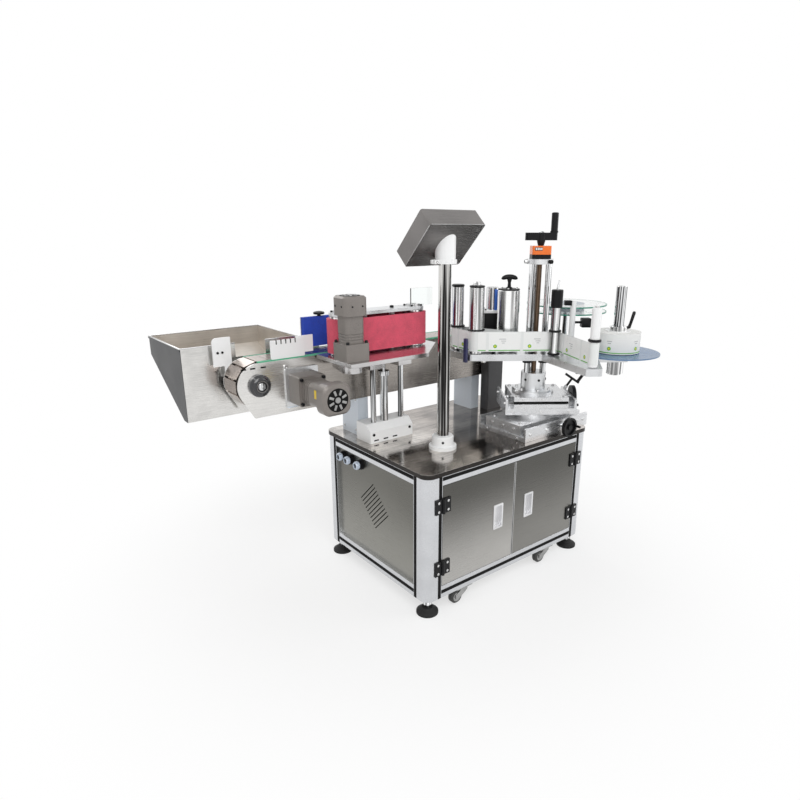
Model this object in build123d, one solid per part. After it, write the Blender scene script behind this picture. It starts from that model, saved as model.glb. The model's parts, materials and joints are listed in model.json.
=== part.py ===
"""Bottle labelling machine on a cabinet, in millimetres with +Z up.

The pieces are laid out about the middle of the cabinet, with the floor at z = 0. X runs along the
conveyor, Y from the doors to the operator's side. The label head is laid out in its own frame about
its pillar. At the end everything is moved so that the origin is the bottom centre of the machine's box.
"""
from build123d import *
import os
from math import asin, atan2, cos, degrees, hypot, pi, radians, sin

os.makedirs("parts", exist_ok=True)

# Fits
RUN_FIT = 0.06
AIR = 0.3

# Cabinet frame
CABINET_X = 730.0
CABINET_Y = 544.0
FOOT_HEIGHT = 52.0
FRAME_TOP = 461.0
COLUMN = 60.0
COLUMN_ROUND = 28.0
COLUMN_SLOT_FROM_CORNER = 52.0
RAIL = 40.0
SLOT_WIDTH = 8.0
SLOT_DEPTH = 6.0
PANEL_SHEET = 2.0
PANEL_INSET = 10.0
VENT_SLITS = 10
VENT_SLIT_LENGTH = 103.0
VENT_SLIT_WIDTH = 3.2
VENT_PITCH = 12.5
VENT_TILT = 45.0
VENT_MIDDLE_Y = 4.0
VENT_MIDDLE_Z = 268.0

# Table
TABLE_SHEET = 3.0
TABLE_LIP = 14.0
TABLE_LIP_WALL = 2.5
TABLE_CLEAR = 0.5

# Feet
FOOT_INSET = 30.0
FOOT_RADIUS = 34.0
FOOT_BASE_HEIGHT = 20.0
FOOT_STEM_RADIUS = 8.0
FOOT_NUT_RADIUS = 14.0
FOOT_NUT_HEIGHT = 10.0

# Doors
DOOR_GAP = 1.5
DOOR_DEPTH = 18.0
DOOR_SHEET = 1.5
HINGE_HEIGHT = 46.0
HINGE_LEAF = 28.0
HINGE_THICKNESS = 4.0
HINGE_KNUCKLE = 5.0
HINGE_PIN = 2.5
HINGE_LOW_Z = 156.0
HINGE_HIGH_Z = 358.0
PULL_X = 42.0
PULL_Z = 84.0
PULL_RIM = 4.0
PULL_FLANGE = 2.0
PULL_DEPTH = 12.0
PULL_WALL = 2.0
PULL_FROM_MIDDLE = 71.0
PULL_MIDDLE_Z = 253.0

# Casters
CASTER_RADIUS = 22.5
CASTER_WIDTH = 20.0
CASTER_FLOOR_GAP = 2.0
CASTER_CHEEK = 3.0
CASTER_AXLE = 4.0
CASTER_LEFT_X = -207.0
CASTER_RIGHT_X = 186.0
CASTER_FROM_FACE = 14.5
CASTER_TRAIL = 28.0
CASTER_PLATE_X = 64.0
CASTER_PLATE = 3.5
CASTER_RACE_RADIUS = 13.0
CASTER_CROWN_HALF = 12.0
CASTER_CROWN = 8.0
CASTER_TREAD_CHAMFER = 3.5

# Operator panel
HMI_X = -172.0
HMI_Y = -117.0
HMI_FLANGE_RADIUS = 43.5
HMI_FLANGE_HEIGHT = 10.0
HMI_COLLAR_RADIUS = 34.0
HMI_COLLAR_HEIGHT = 32.0
HMI_COLLAR_CHAMFER = 3.0
HMI_TUBE_RADIUS = 19.0
HMI_TUBE_WALL = 3.0
HMI_TUBE_TOP = 1050.0
HMI_CLAMP_RADIUS = 30.0
HMI_CLAMP_RING = 34.0
HMI_CLAMP_RING_HEIGHT = 12.0
HMI_CLAMP_GRIP = 22.0
HMI_BACK_RISE = 28.3
HMI_WIDTH = 207.0
HMI_HEIGHT = 160.0
HMI_DEPTH = 57.0
HMI_ROUND = 4.0
HMI_TILT = 44.0
HMI_SCREEN_X = 165.0
HMI_SCREEN_Y = 104.0
HMI_SCREEN_DEPTH = 3.0

# Conveyor
CHAIN_PITCH = 38.1
CHAIN_WIDTH = 82.6
CHAIN_PLATE = 4.0
CHAIN_PIN_DROP = 8.0
CHAIN_BARREL = 3.6
CHAIN_BARREL_WIDTH = 42.0
CHAIN_PLATE_GAP = 0.6
CHAIN_STRAIGHT_LINKS = 25
CHAIN_END_LINKS = 5
SPROCKET_WIDTH = 38.0
SPROCKET_TOOTH = 5.0
SHAFT_RADIUS = 12.5
SHAFT_ROOM = 2.0
CONVEYOR_TOP = 760.0
CONVEYOR_Y = 190.0
DRIVE_X = -656.0
SIDE_PLATE = 4.0
SIDE_PLATE_OUTER_HALF = 52.0
SIDE_PLATE_HEIGHT = 162.0
SIDE_PLATE_HEEL = 22.0
SIDE_PLATE_ROUND = 6.0
WEAR_STRIP = 4.0
WEAR_STRIP_WIDTH = 8.0
CARRY_RAIL_WIDTH = 10.0
CARRY_RAIL_HEIGHT = 14.0
CARRY_RAIL_OFFSET = 30.0
CROSS_BAR = 16.0
CROSS_BARS = 4
BEARING_RADIUS = 33.0
BEARING_THICKNESS = 14.0
STAND_LEFT_X = -318.0
STAND_RIGHT_X = 195.0
STAND_SHEET = 4.0
STAND_FOOT = 40.0
STAND_OVERLAP = 18.0
MOTOR_X = -520.0
MOTOR_Z = 668.0
MOTOR_SIZE = 90.0
MOTOR_GEARBOX = 62.0
MOTOR_BODY = 100.0
MOTOR_CAP = 40.0
MOTOR_NECK = 0.79
MOTOR_GROOVES = 3
MOTOR_GRILLE = 10
MOTOR_SHAFT = 7.5
MOTOR_PLATE_X = 110.0
MOTOR_PLATE_Z = 120.0
MOTOR_PLATE_SHEET = 6.0
MOTOR_PLATE_ROUND = 6.0
PULLEY_RADIUS = 27.0
PULLEY_WIDTH = 14.0
BELT_THICKNESS = 3.0
BELT_WIDTH = 12.0
PULLEY_GAP = 2.0

# Guides and collecting bin
GUIDE_X0 = -613.0
GUIDE_X1 = -503.0
GUIDE_TOP = 815.0
GUIDE_SHEET = 4.0
GUIDE_SET_BACK = 1.0
GUIDE_ROUND = 4.0
GUIDE_TAIL_X0 = -529.0
GUIDE_TAIL_X1 = -472.0
GUIDE_TAIL_LIFT = 10.0
STOP_X0 = -745.0
STOP_X1 = -690.0
STOP_TAB = 22.0
STOP_TOP = 822.0
STOP_LOW = 738.0
STOP_BOTTOM = 700.0
STOP_SHEET = 6.0
STOP_ROUND = 14.0
BIN_X0 = -831.0
BIN_X1 = -462.0
BIN_STANDOFF = 20.0
BIN_DEPTH_Y = 296.0
BIN_RIM_Z = 799.0
BIN_FLOOR_Z = 580.0
BIN_FAR_WALL = 60.0
BIN_FLAT = 30.0
BIN_SHEET = 2.0
BIN_HEM = 8.0
BIN_NOTCH_X0 = -669.0
BIN_NOTCH_X1 = -572.0
BIN_NOTCH_Z = 757.0
BIN_BOSS_RADIUS = 10.0
BIN_BOSS_X = (-590.0, -500.0)
BIN_BOSS_Z = 640.0

# Wrap station
PRESS_BLOCK_X0 = -335.0
PRESS_BLOCK_X1 = -165.0
PRESS_BLOCK_Y0 = 46.0
PRESS_BLOCK_Y1 = 126.0
PRESS_BLOCK_HEIGHT = 60.0
PRESS_BLOCK_CHAMFER = 22.0
PRESS_POST_RADIUS = 9.0
PRESS_POST_X = (-300.0, -190.0)
PRESS_POST_Y = 78.0
PRESS_LIFT_X = -258.0
PRESS_LIFT_TUBE = 13.0
PRESS_LIFT_ROD = 6.0
PRESS_LIFT_COLLAR = 19.0
PRESS_LIFT_COLLAR_Z = 676.0
PRESS_LIFT_COLLAR_HEIGHT = 14.0
PRESS_PLATE_Z = 748.0
PRESS_PLATE = 12.0
PRESS_PLATE_X0 = -468.0
PRESS_PLATE_Y0 = -62.0
PRESS_PLATE_Y1 = 132.0
PRESS_PLATE_X1 = -50.0
PRESS_BEVEL_X = -186.0
PRESS_BEVEL_Y = 66.0
PRESS_CLAMP_HALF = 26.0
PRESS_CLAMP_HEIGHT = 44.0
PRESS_ROLLER_X = (-405.0, -130.0)
PRESS_ROLLER_Y = 88.0
PRESS_ROLLER_RADIUS = 34.0
PRESS_ROLLER_GAP = 2.0
PRESS_SHAFT_RADIUS = 8.0
PRESS_SHAFT_PROUD = 2.0
PRESS_BELT = 8.0
PRESS_BELT_Z0 = 767.0
PRESS_BELT_HEIGHT = 102.0
PRESS_BRIDGE_Z = 877.0
PRESS_BRIDGE = 10.0
PRESS_BRIDGE_HALF = 35.0
PRESS_PILLAR_RADIUS = 10.0
PRESS_PILLAR_X = (-320.0, -215.0)
PRESS_MOTOR_X = -425.0
PRESS_MOTOR_Y = 2.0
PRESS_MOTOR_SIZE = 78.0
PRESS_GEARBOX = 50.0
PRESS_MOTOR_BODY = 79.0
PRESS_MOTOR_CAP = 55.0
PRESS_HOUSING_HEIGHT = 26.0
PRESS_HOUSING_RADIUS = 30.0
GUARD_X0 = -150.0
GUARD_X1 = -62.0
GUARD_HEIGHT = 56.0
GUARD_SHEET = 5.0
GUARD_FOOT_ROOM = 2.0
PAD_X0 = -456.0
PAD_X1 = -104.0
PAD_Y = 232.0
PAD_THICKNESS = 12.0
PAD_HEIGHT = 94.0
PAD_LIFT = 5.0
PAD_PLATE = 4.0
PAD_ROD_RADIUS = 6.0
PAD_ROD_X = (-400.0, -160.0)
PAD_ROD_LENGTH = 84.0
PAD_BRACKET_WIDTH = 36.0
PAD_BRACKET_Y = 23.0
PAD_BRACKET = 12.0
PAD_BRACKET_FOOT_Z = 640.0
PAD_BRACKET_FOOT = 24.0
PAD_BRACKET_OVER = 22.0

# Lower slide
LOWER_X0 = 62.0
LOWER_X1 = 382.0
LOWER_Y0 = -253.0
LOWER_Y1 = -40.0
LOWER_BASE = 14.0
LOWER_END = 8.0
LOWER_END_HEIGHT = 30.0
LOWER_WAY_WIDTH = 40.0
LOWER_WAY_HEIGHT = 10.0
LOWER_WAY_INSET = 44.0
LOWER_CARRIAGE_MARGIN = 20.0
LOWER_CARRIAGE_INSET = 6.0
LOWER_CARRIAGE_HEIGHT = 34.0
LOWER_SCREW_RADIUS = 6.0
LOWER_SCREW_X = 245.0
LOWER_SCREW_Z = 24.0
LOWER_WHEEL_RADIUS = 33.0
LOWER_WHEEL_WIDTH = 12.0
LOWER_WHEEL_REACH = 37.0

# Upper slide, in the head's frame
PILLAR_X = 228.0
PILLAR_Y = -130.0
HEAD_YAW = -37.0
SWIVEL_RADIUS = 84.0
SWIVEL_HEIGHT = 14.0
SWIVEL_PIN_RADIUS = 20.0
SWIVEL_PIN_LENGTH = 8.0
UPPER_U0 = -108.0
UPPER_U1 = 132.0
UPPER_HALF_V = 92.0
UPPER_BASE = 22.0
UPPER_END = 8.0
UPPER_END_HEIGHT = 30.0
UPPER_WAY_WIDTH = 34.0
UPPER_WAY_HEIGHT = 9.0
UPPER_WAY_INSET = 22.0
UPPER_CARRIAGE_MARGIN = 20.0
UPPER_CARRIAGE_HEIGHT = 38.0
UPPER_GROOVE_HEIGHT = 10.0
UPPER_GROOVE_DEPTH = 8.0
UPPER_SCREW_RADIUS = 6.0
UPPER_SCREW_RISE = 18.0
UPPER_WHEEL_RADIUS = 38.0
UPPER_WHEEL_WIDTH = 12.0
UPPER_WHEEL_REACH = 14.0
CLAMP_CRANK_V = 62.0
CLAMP_CRANK_TILT = 34.0
CLAMP_CRANK_EDGE = 2.0
CLAMP_CRANK_SHAFT = 4.0
CLAMP_CRANK_LENGTH = 44.0
CLAMP_CRANK_ARM = 58.0
CLAMP_CRANK_ARM_WIDTH = 10.0
CLAMP_CRANK_ARM_HEIGHT = 8.0
CLAMP_CRANK_HANDLE = 34.0
CLAMP_CRANK_HANDLE_RADIUS = 5.5
CLAMP_BOSS_RADIUS = 7.0
CLAMP_BOSS_SEAT = 1.0
CLAMP_BOSS_FLOOR = 2.0
CLAMP_BOSS_HEIGHT = 12.0

# Pillar
FLANGE_RADIUS = 71.0
FLANGE_HEIGHT = 12.0
COLLAR_RADIUS = 42.0
COLLAR_HEIGHT = 58.0
POST_RADIUS = 10.0
POST_CIRCLE = 31.0
POST_TOP = 1015.0
TOP_CLAMP_RADIUS = 43.0
TOP_CLAMP_HEIGHT = 16.0
LIFT_SCREW_RADIUS = 8.0
COUNTER_X = 62.0
COUNTER_Y = 50.0
COUNTER_ROUND = 6.0
COUNTER_STEP = 2.0
COUNTER_BASE = 14.0
COUNTER_HEIGHT = 27.0
LIFT_HUB_RADIUS = 14.0
LIFT_HUB_GAP = 1.0
LIFT_HUB_HEIGHT = 40.0
LIFT_ARM_REACH = 52.0
LIFT_ARM_WIDTH = 22.0
LIFT_ARM_HEIGHT = 24.0
LIFT_HANDLE_RADIUS = 11.0
LIFT_HANDLE_HEIGHT = 60.0

# Label head
PLATE_Z = 705.0
PLATE = 22.0
PLATE_ROUND = 12.0
PLATE_U0 = -285.0
PLATE_U1 = 150.0
PLATE_V0 = -64.0
PLATE_V1 = 60.0
PLATE_BACK_V = 158.0
PLATE_BACK_U0 = -70.0
PLATE_BACK_U1 = 185.0
PLATE_BEVEL_U = -226.0
PLATE_BEVEL_V = 10.0
ROLLER_GAP = 2.0
WEB_LOW = 10.0
WEB_WIDTH = 66.0
WEB_THICKNESS = 0.8
ROLLER_SPINDLE = 6.0
CORNER_ROLLER = (-262.0, 40.0, 20.0, 213.0)
GUIDE_ROLLER = (-208.0, -42.0, 24.0, 218.0)
SLIM_ROLLER = (44.0, -81.0, 15.0, 208.0)
TURN_ROLLER = (115.0, -270.0, 14.0, 178.0)
FEED_ROLLER = (-97.0, 0.0, 37.0, 204.0)
SLIM_EDGE = 33.0
ROLLER_CHAMFER = 1.5
ARM_TIP_HALF = 24.0
FEED_MOTOR_U = -141.0
FEED_MOTOR_V = 72.0
FEED_MOTOR_SIZE = 57.0
FEED_MOTOR_HEIGHT = 122.0
FEED_MOTOR_ROUND = 5.0
FEED_CYLINDER_RADIUS = 21.0
FEED_CYLINDER_HEIGHT = 82.0
SUPPLY_U = 258.0
SUPPLY_V = -60.0
SUPPLY_DISC_RADIUS = 138.0
SUPPLY_DISC = 4.0
SUPPLY_GAP = 4.0
SUPPLY_MANDREL = 17.0
SUPPLY_MANDREL_TOP = 947.0
SUPPLY_SPINDLE = 10.0
SUPPLY_ARM_HALF = 34.0
ROLL_RADIUS = 73.0
ROLL_CORE = 38.0
ROLL_SEAT_RADIUS = 58.0
BRAKE_RADIUS = 28.0
BRAKE_HEIGHT = 46.0
BRAKE_CHAMFER = 4.0
REWIND_U = 132.0
REWIND_V = 125.0
REWIND_DISC_RADIUS = 138.0
REWIND_DISC = 4.0
REWIND_GAP = 20.0
REWIND_Z = 846.0
REWIND_CORE = 62.0
REWIND_SPINDLE = 9.0

# Driver box
BOX_X0 = 234.0
BOX_X1 = 312.0
BOX_Y0 = 92.0
BOX_Y1 = 132.0
BOX_HEIGHT = 184.0
BOX_ROUND = 4.0

# Levels and places worked out from the sizes above
TABLE_TOP = FRAME_TOP + TABLE_SHEET
RAIL_LOW_Z = FOOT_HEIGHT
RAIL_HIGH_Z = FRAME_TOP - RAIL
HALF_X = CABINET_X / 2
HALF_Y = CABINET_Y / 2
SPROCKET_PITCH_RADIUS = CHAIN_PITCH / 2 / sin(pi / 2 / CHAIN_END_LINKS)
SHAFT_Z = CONVEYOR_TOP - CHAIN_PIN_DROP - SPROCKET_PITCH_RADIUS
TAIL_X = DRIVE_X + CHAIN_PITCH * CHAIN_STRAIGHT_LINKS
PLATE_TOP_Z = CONVEYOR_TOP - WEAR_STRIP
PLATE_LOW_Z = PLATE_TOP_Z - SIDE_PLATE_HEIGHT
NEAR_OUT = CONVEYOR_Y - SIDE_PLATE_OUTER_HALF
NEAR_IN = NEAR_OUT + SIDE_PLATE
FAR_OUT = CONVEYOR_Y + SIDE_PLATE_OUTER_HALF
FAR_IN = FAR_OUT - SIDE_PLATE
SWIVEL_Z = TABLE_TOP + LOWER_BASE + LOWER_CARRIAGE_HEIGHT
UPPER_Z = SWIVEL_Z + SWIVEL_HEIGHT
UPPER_TOP = UPPER_Z + UPPER_BASE
FLANGE_Z = UPPER_TOP + UPPER_CARRIAGE_HEIGHT
COLLAR_TOP = FLANGE_Z + FLANGE_HEIGHT + COLLAR_HEIGHT
COUNTER_Z = POST_TOP + TOP_CLAMP_HEIGHT
HEAD_TOP = PLATE_Z + PLATE
WEB_Z = HEAD_TOP + WEB_LOW

NODES = {}
PIVOTS = {}
HEAD_FRAME = Pos(PILLAR_X, PILLAR_Y, 0) * Rot(0, 0, HEAD_YAW)


def block(x0, x1, y0, y1, z0, z1):
    """Rectangular solid between two corners."""
    return Pos((x0 + x1) / 2, (y0 + y1) / 2, (z0 + z1) / 2) * Box(x1 - x0, y1 - y0, z1 - z0)


def rod(x, y, z0, z1, radius):
    """Upright round bar."""
    return Pos(x, y, (z0 + z1) / 2) * Cylinder(radius, z1 - z0)


def rod_x(x0, x1, y, z, radius):
    """Round bar along X."""
    return Pos((x0 + x1) / 2, y, z) * Rot(0, 90, 0) * Cylinder(radius, x1 - x0)


def rod_y(x, y0, y1, z, radius):
    """Round bar along Y."""
    return Pos(x, (y0 + y1) / 2, z) * Rot(90, 0, 0) * Cylinder(radius, y1 - y0)


def plate_xz(profile, y0, y1):
    """Solid of an X-Z outline between two Y levels."""
    plane = Plane(origin=(0, y1, 0), x_dir=(1, 0, 0), z_dir=(0, -1, 0))
    return extrude(plane * profile, y1 - y0)


def plate_yz(profile, x0, x1):
    """Solid of a Y-Z outline between two X levels."""
    plane = Plane(origin=(x0, 0, 0), x_dir=(0, 1, 0), z_dir=(1, 0, 0))
    return extrude(plane * profile, x1 - x0)


def plate_xy(profile, z0, z1):
    """Solid of a plan outline between two heights."""
    return extrude(Pos(0, 0, z0) * profile, z1 - z0)


def outline(*points):
    """Closed face through corner points."""
    return make_face(Polyline(*points, close=True))


def rounded(solid, axis, radius):
    """Solid with its edges along one axis rounded."""
    return fillet(solid.edges().filter_by(axis), radius)


def add(name, *solids):
    """File the solids of one piece, or of a set of equal pieces, under its name."""
    kept = []
    for solid in solids:
        kept.extend(solid.solids())
    NODES.setdefault(name, []).extend(kept)


def add_head(name, *solids):
    """File pieces that are laid out in the label head's frame."""
    add(name, *[HEAD_FRAME * solid for solid in solids])


def pivot(name, x, y, z):
    """Note the middle of a joint."""
    PIVOTS[name] = (x, y, z)


def pivot_head(name, u, v, z):
    """Note the middle of a joint that is laid out in the label head's frame."""
    place = (HEAD_FRAME * Pos(u, v, z)).position
    PIVOTS[name] = (place.X, place.Y, place.Z)


def tangent_angle(first, second):
    """Heading of the straight run between two circles (x, y, radius, turn).

    The turn is +1 where the path goes counter-clockwise round the circle and -1 where it goes clockwise.
    """
    dx = second[0] - first[0]
    dy = second[1] - first[1]
    lean = (second[3] * second[2] - first[3] * first[2]) / hypot(dx, dy)
    return atan2(dy, dx) - asin(lean)


def on_circle(circle, heading):
    """Point where a run with this heading touches a circle."""
    x, y, radius, turn = circle
    return (x + turn * radius * sin(heading), y - turn * radius * cos(heading))


def wrap_arc(circle, heading_in, heading_out):
    """Arc round a circle between two headings."""
    turn = circle[3]
    sweep = (turn * (heading_out - heading_in)) % (2 * pi)
    middle = heading_in + turn * sweep / 2
    ends = (on_circle(circle, heading_in), on_circle(circle, middle), on_circle(circle, heading_out))
    return ThreePointArc(*ends)


def loop_edges(circles):
    """Closed path round circles."""
    count = len(circles)
    headings = [tangent_angle(circles[i], circles[(i + 1) % count]) for i in range(count)]
    edges = []
    for i in range(count):
        following = (i + 1) % count
        start = on_circle(circles[i], headings[i])
        end = on_circle(circles[following], headings[i])
        edges.append(Line(start, end))
        edges.append(wrap_arc(circles[following], headings[i], headings[following]))
    return edges


def loop_face(circles, grow):
    """Face inside a closed path that stays a little off its circles."""
    return make_face(loop_edges([(x, y, r + grow, turn) for x, y, r, turn in circles]))


def belt_face(circles, gap, thickness):
    """Section of a belt that runs round circles."""
    return loop_face(circles, gap + thickness) - loop_face(circles, gap)


def web_edges(circles):
    """Open path from the first circle to the last."""
    headings = [tangent_angle(circles[i], circles[i + 1]) for i in range(len(circles) - 1)]
    edges = []
    for i, heading in enumerate(headings):
        edges.append(Line(on_circle(circles[i], heading), on_circle(circles[i + 1], heading)))
        if i + 1 < len(headings):
            edges.append(wrap_arc(circles[i + 1], heading, headings[i + 1]))
    return edges


def web_face(circles, gap, thickness):
    """Section of a strip that is led round circles, from the first to the last."""
    left = [(x, y, r + gap + (thickness if turn < 0 else 0), turn) for x, y, r, turn in circles]
    right = [(x, y, r + gap + (thickness if turn > 0 else 0), turn) for x, y, r, turn in circles]
    left_edges = web_edges(left)
    right_edges = web_edges(right)
    start = Line(left_edges[0] @ 0, right_edges[0] @ 0)
    end = Line(left_edges[-1] @ 1, right_edges[-1] @ 1)
    return make_face(left_edges + [end] + right_edges + [start])


def four_corners(solid):
    """A piece at one corner of the cabinet and its mirror images at the others."""
    other = mirror(solid, about=Plane.YZ)
    pair = [solid, other]
    return pair + [mirror(piece, about=Plane.XZ) for piece in pair]


def gearmotor(size, gearbox, body, cap, shaft):
    """Square gearmotor that stands on its gearbox face: gear case, slimmer motor body and fan cap."""
    case = extrude(RectangleRounded(size, size, size * 0.08), gearbox)
    case -= Cylinder(shaft + RUN_FIT, gearbox * 0.6)
    neck = size * MOTOR_NECK
    barrel = Pos(0, 0, gearbox) * extrude(RectangleRounded(neck, neck, neck * 0.25), body)
    waist = neck * 0.94
    groove = RectangleRounded(size, size, size * 0.3) - RectangleRounded(waist, waist, neck * 0.23)
    for i in range(MOTOR_GROOVES):
        barrel -= Pos(0, 0, gearbox + body * (0.12 + 0.1 * i)) * extrude(groove, body * 0.04)
    top = Pos(0, 0, gearbox + body) * extrude(RectangleRounded(size, size, size * 0.26), cap)
    top = chamfer(top.faces().sort_by(Axis.Z)[-1].edges(), size * 0.07)
    slot = Pos(size * 0.25, 0, gearbox + body + cap) * Box(size * 0.24, size * 0.045, size * 0.1)
    for i in range(MOTOR_GRILLE):
        top -= Rot(0, 0, 360 * i / MOTOR_GRILLE) * slot
    return case, barrel + top


def handwheel(radius, width, hub):
    """Wheel with a rim, a dished web and a turning knob, on the +Z axis with its back at z = 0."""
    wheel = Pos(0, 0, width / 2) * Cylinder(radius, width)
    wheel -= Pos(0, 0, width) * (Cylinder(radius * 0.78, width) - Cylinder(hub, width))
    wheel += Pos(radius * 0.86, 0, width + radius * 0.25) * Cylinder(radius * 0.12, radius * 0.5)
    return wheel


def make_cabinet():
    """Columns, rails, table, panels and feet."""
    square = Pos(COLUMN / 2, COLUMN / 2) * Rectangle(COLUMN, COLUMN)
    outer = square.vertices().sort_by(lambda v: v.X + v.Y)[0]
    section = fillet(outer, COLUMN_ROUND)
    section -= Pos(COLUMN_SLOT_FROM_CORNER, 0) * Rectangle(SLOT_WIDTH, 2 * SLOT_DEPTH)
    section -= Pos(0, COLUMN_SLOT_FROM_CORNER) * Rectangle(2 * SLOT_DEPTH, SLOT_WIDTH)
    column = plate_xy(Pos(-HALF_X, -HALF_Y) * section, FOOT_HEIGHT, FRAME_TOP)
    add("frame_extrusions", *four_corners(column))

    run_x = HALF_X - COLUMN
    run_y = HALF_Y - COLUMN
    for low in (RAIL_LOW_Z, RAIL_HIGH_Z):
        middle = low + RAIL / 2
        slot = (middle - SLOT_WIDTH / 2, middle + SLOT_WIDTH / 2)
        front = block(-run_x, run_x, -HALF_Y, -HALF_Y + RAIL, low, low + RAIL)
        front -= block(-run_x, run_x, -HALF_Y, -HALF_Y + SLOT_DEPTH, *slot)
        side = block(-HALF_X, -HALF_X + RAIL, -run_y, run_y, low, low + RAIL)
        side -= block(-HALF_X, -HALF_X + SLOT_DEPTH, -run_y, run_y, *slot)
        add("frame_extrusions", front, mirror(front, about=Plane.XZ))
        add("frame_extrusions", side, mirror(side, about=Plane.YZ))

    inner_x = CABINET_X + 2 * TABLE_CLEAR
    inner_y = CABINET_Y + 2 * TABLE_CLEAR
    wide_x = inner_x + 2 * TABLE_LIP_WALL
    wide_y = inner_y + 2 * TABLE_LIP_WALL
    round_in = COLUMN_ROUND + TABLE_CLEAR
    round_out = round_in + TABLE_LIP_WALL
    pan = plate_xy(RectangleRounded(wide_x, wide_y, round_out), TABLE_TOP - TABLE_LIP, TABLE_TOP)
    pan -= plate_xy(RectangleRounded(inner_x, inner_y, round_in), TABLE_TOP - TABLE_LIP, FRAME_TOP)
    add("table_top", pan)

    panel_low = RAIL_LOW_Z + RAIL
    skin = -HALF_X + PANEL_INSET
    left = block(skin, skin + PANEL_SHEET, -run_y, run_y, panel_low, RAIL_HIGH_Z)
    right = mirror(left, about=Plane.YZ)
    for i in range(VENT_SLITS):
        step = Pos(0, 0, VENT_PITCH * (i - (VENT_SLITS - 1) / 2))
        slit = Box(4 * PANEL_SHEET, VENT_SLIT_LENGTH, VENT_SLIT_WIDTH)
        left -= Pos(skin, VENT_MIDDLE_Y, VENT_MIDDLE_Z) * Rot(-VENT_TILT, 0, 0) * step * slit
    rear_y = HALF_Y - PANEL_INSET
    rear = block(-run_x, run_x, rear_y - PANEL_SHEET, rear_y, panel_low, RAIL_HIGH_Z)
    floor_x = HALF_X - RAIL
    floor_y = HALF_Y - RAIL
    floor = block(-floor_x, floor_x, -floor_y, floor_y, panel_low - PANEL_SHEET, panel_low)
    for piece in four_corners(block(-HALF_X, -HALF_X + COLUMN, -HALF_Y, -HALF_Y + COLUMN, 0, FRAME_TOP)):
        floor -= piece
    add("cover_panels", left, right, rear, floor)

    base = Plane.XZ * outline(
        (0, 0), (FOOT_RADIUS, 0), (FOOT_RADIUS, FOOT_BASE_HEIGHT * 0.35),
        (FOOT_RADIUS * 0.62, FOOT_BASE_HEIGHT * 0.8), (FOOT_RADIUS * 0.5, FOOT_BASE_HEIGHT),
        (0, FOOT_BASE_HEIGHT))
    base = revolve(base, Axis.Z)
    nut = extrude(RegularPolygon(FOOT_NUT_RADIUS, 6), FOOT_NUT_HEIGHT)
    stem = rod(0, 0, FOOT_BASE_HEIGHT, FOOT_HEIGHT, FOOT_STEM_RADIUS)
    stem += Pos(0, 0, FOOT_BASE_HEIGHT + FOOT_NUT_HEIGHT) * nut
    place = Pos(-HALF_X + FOOT_INSET, -HALF_Y + FOOT_INSET, 0)
    add("levelling_feet", *four_corners(place * base))
    add("levelling_feet", *four_corners(place * stem))


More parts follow.
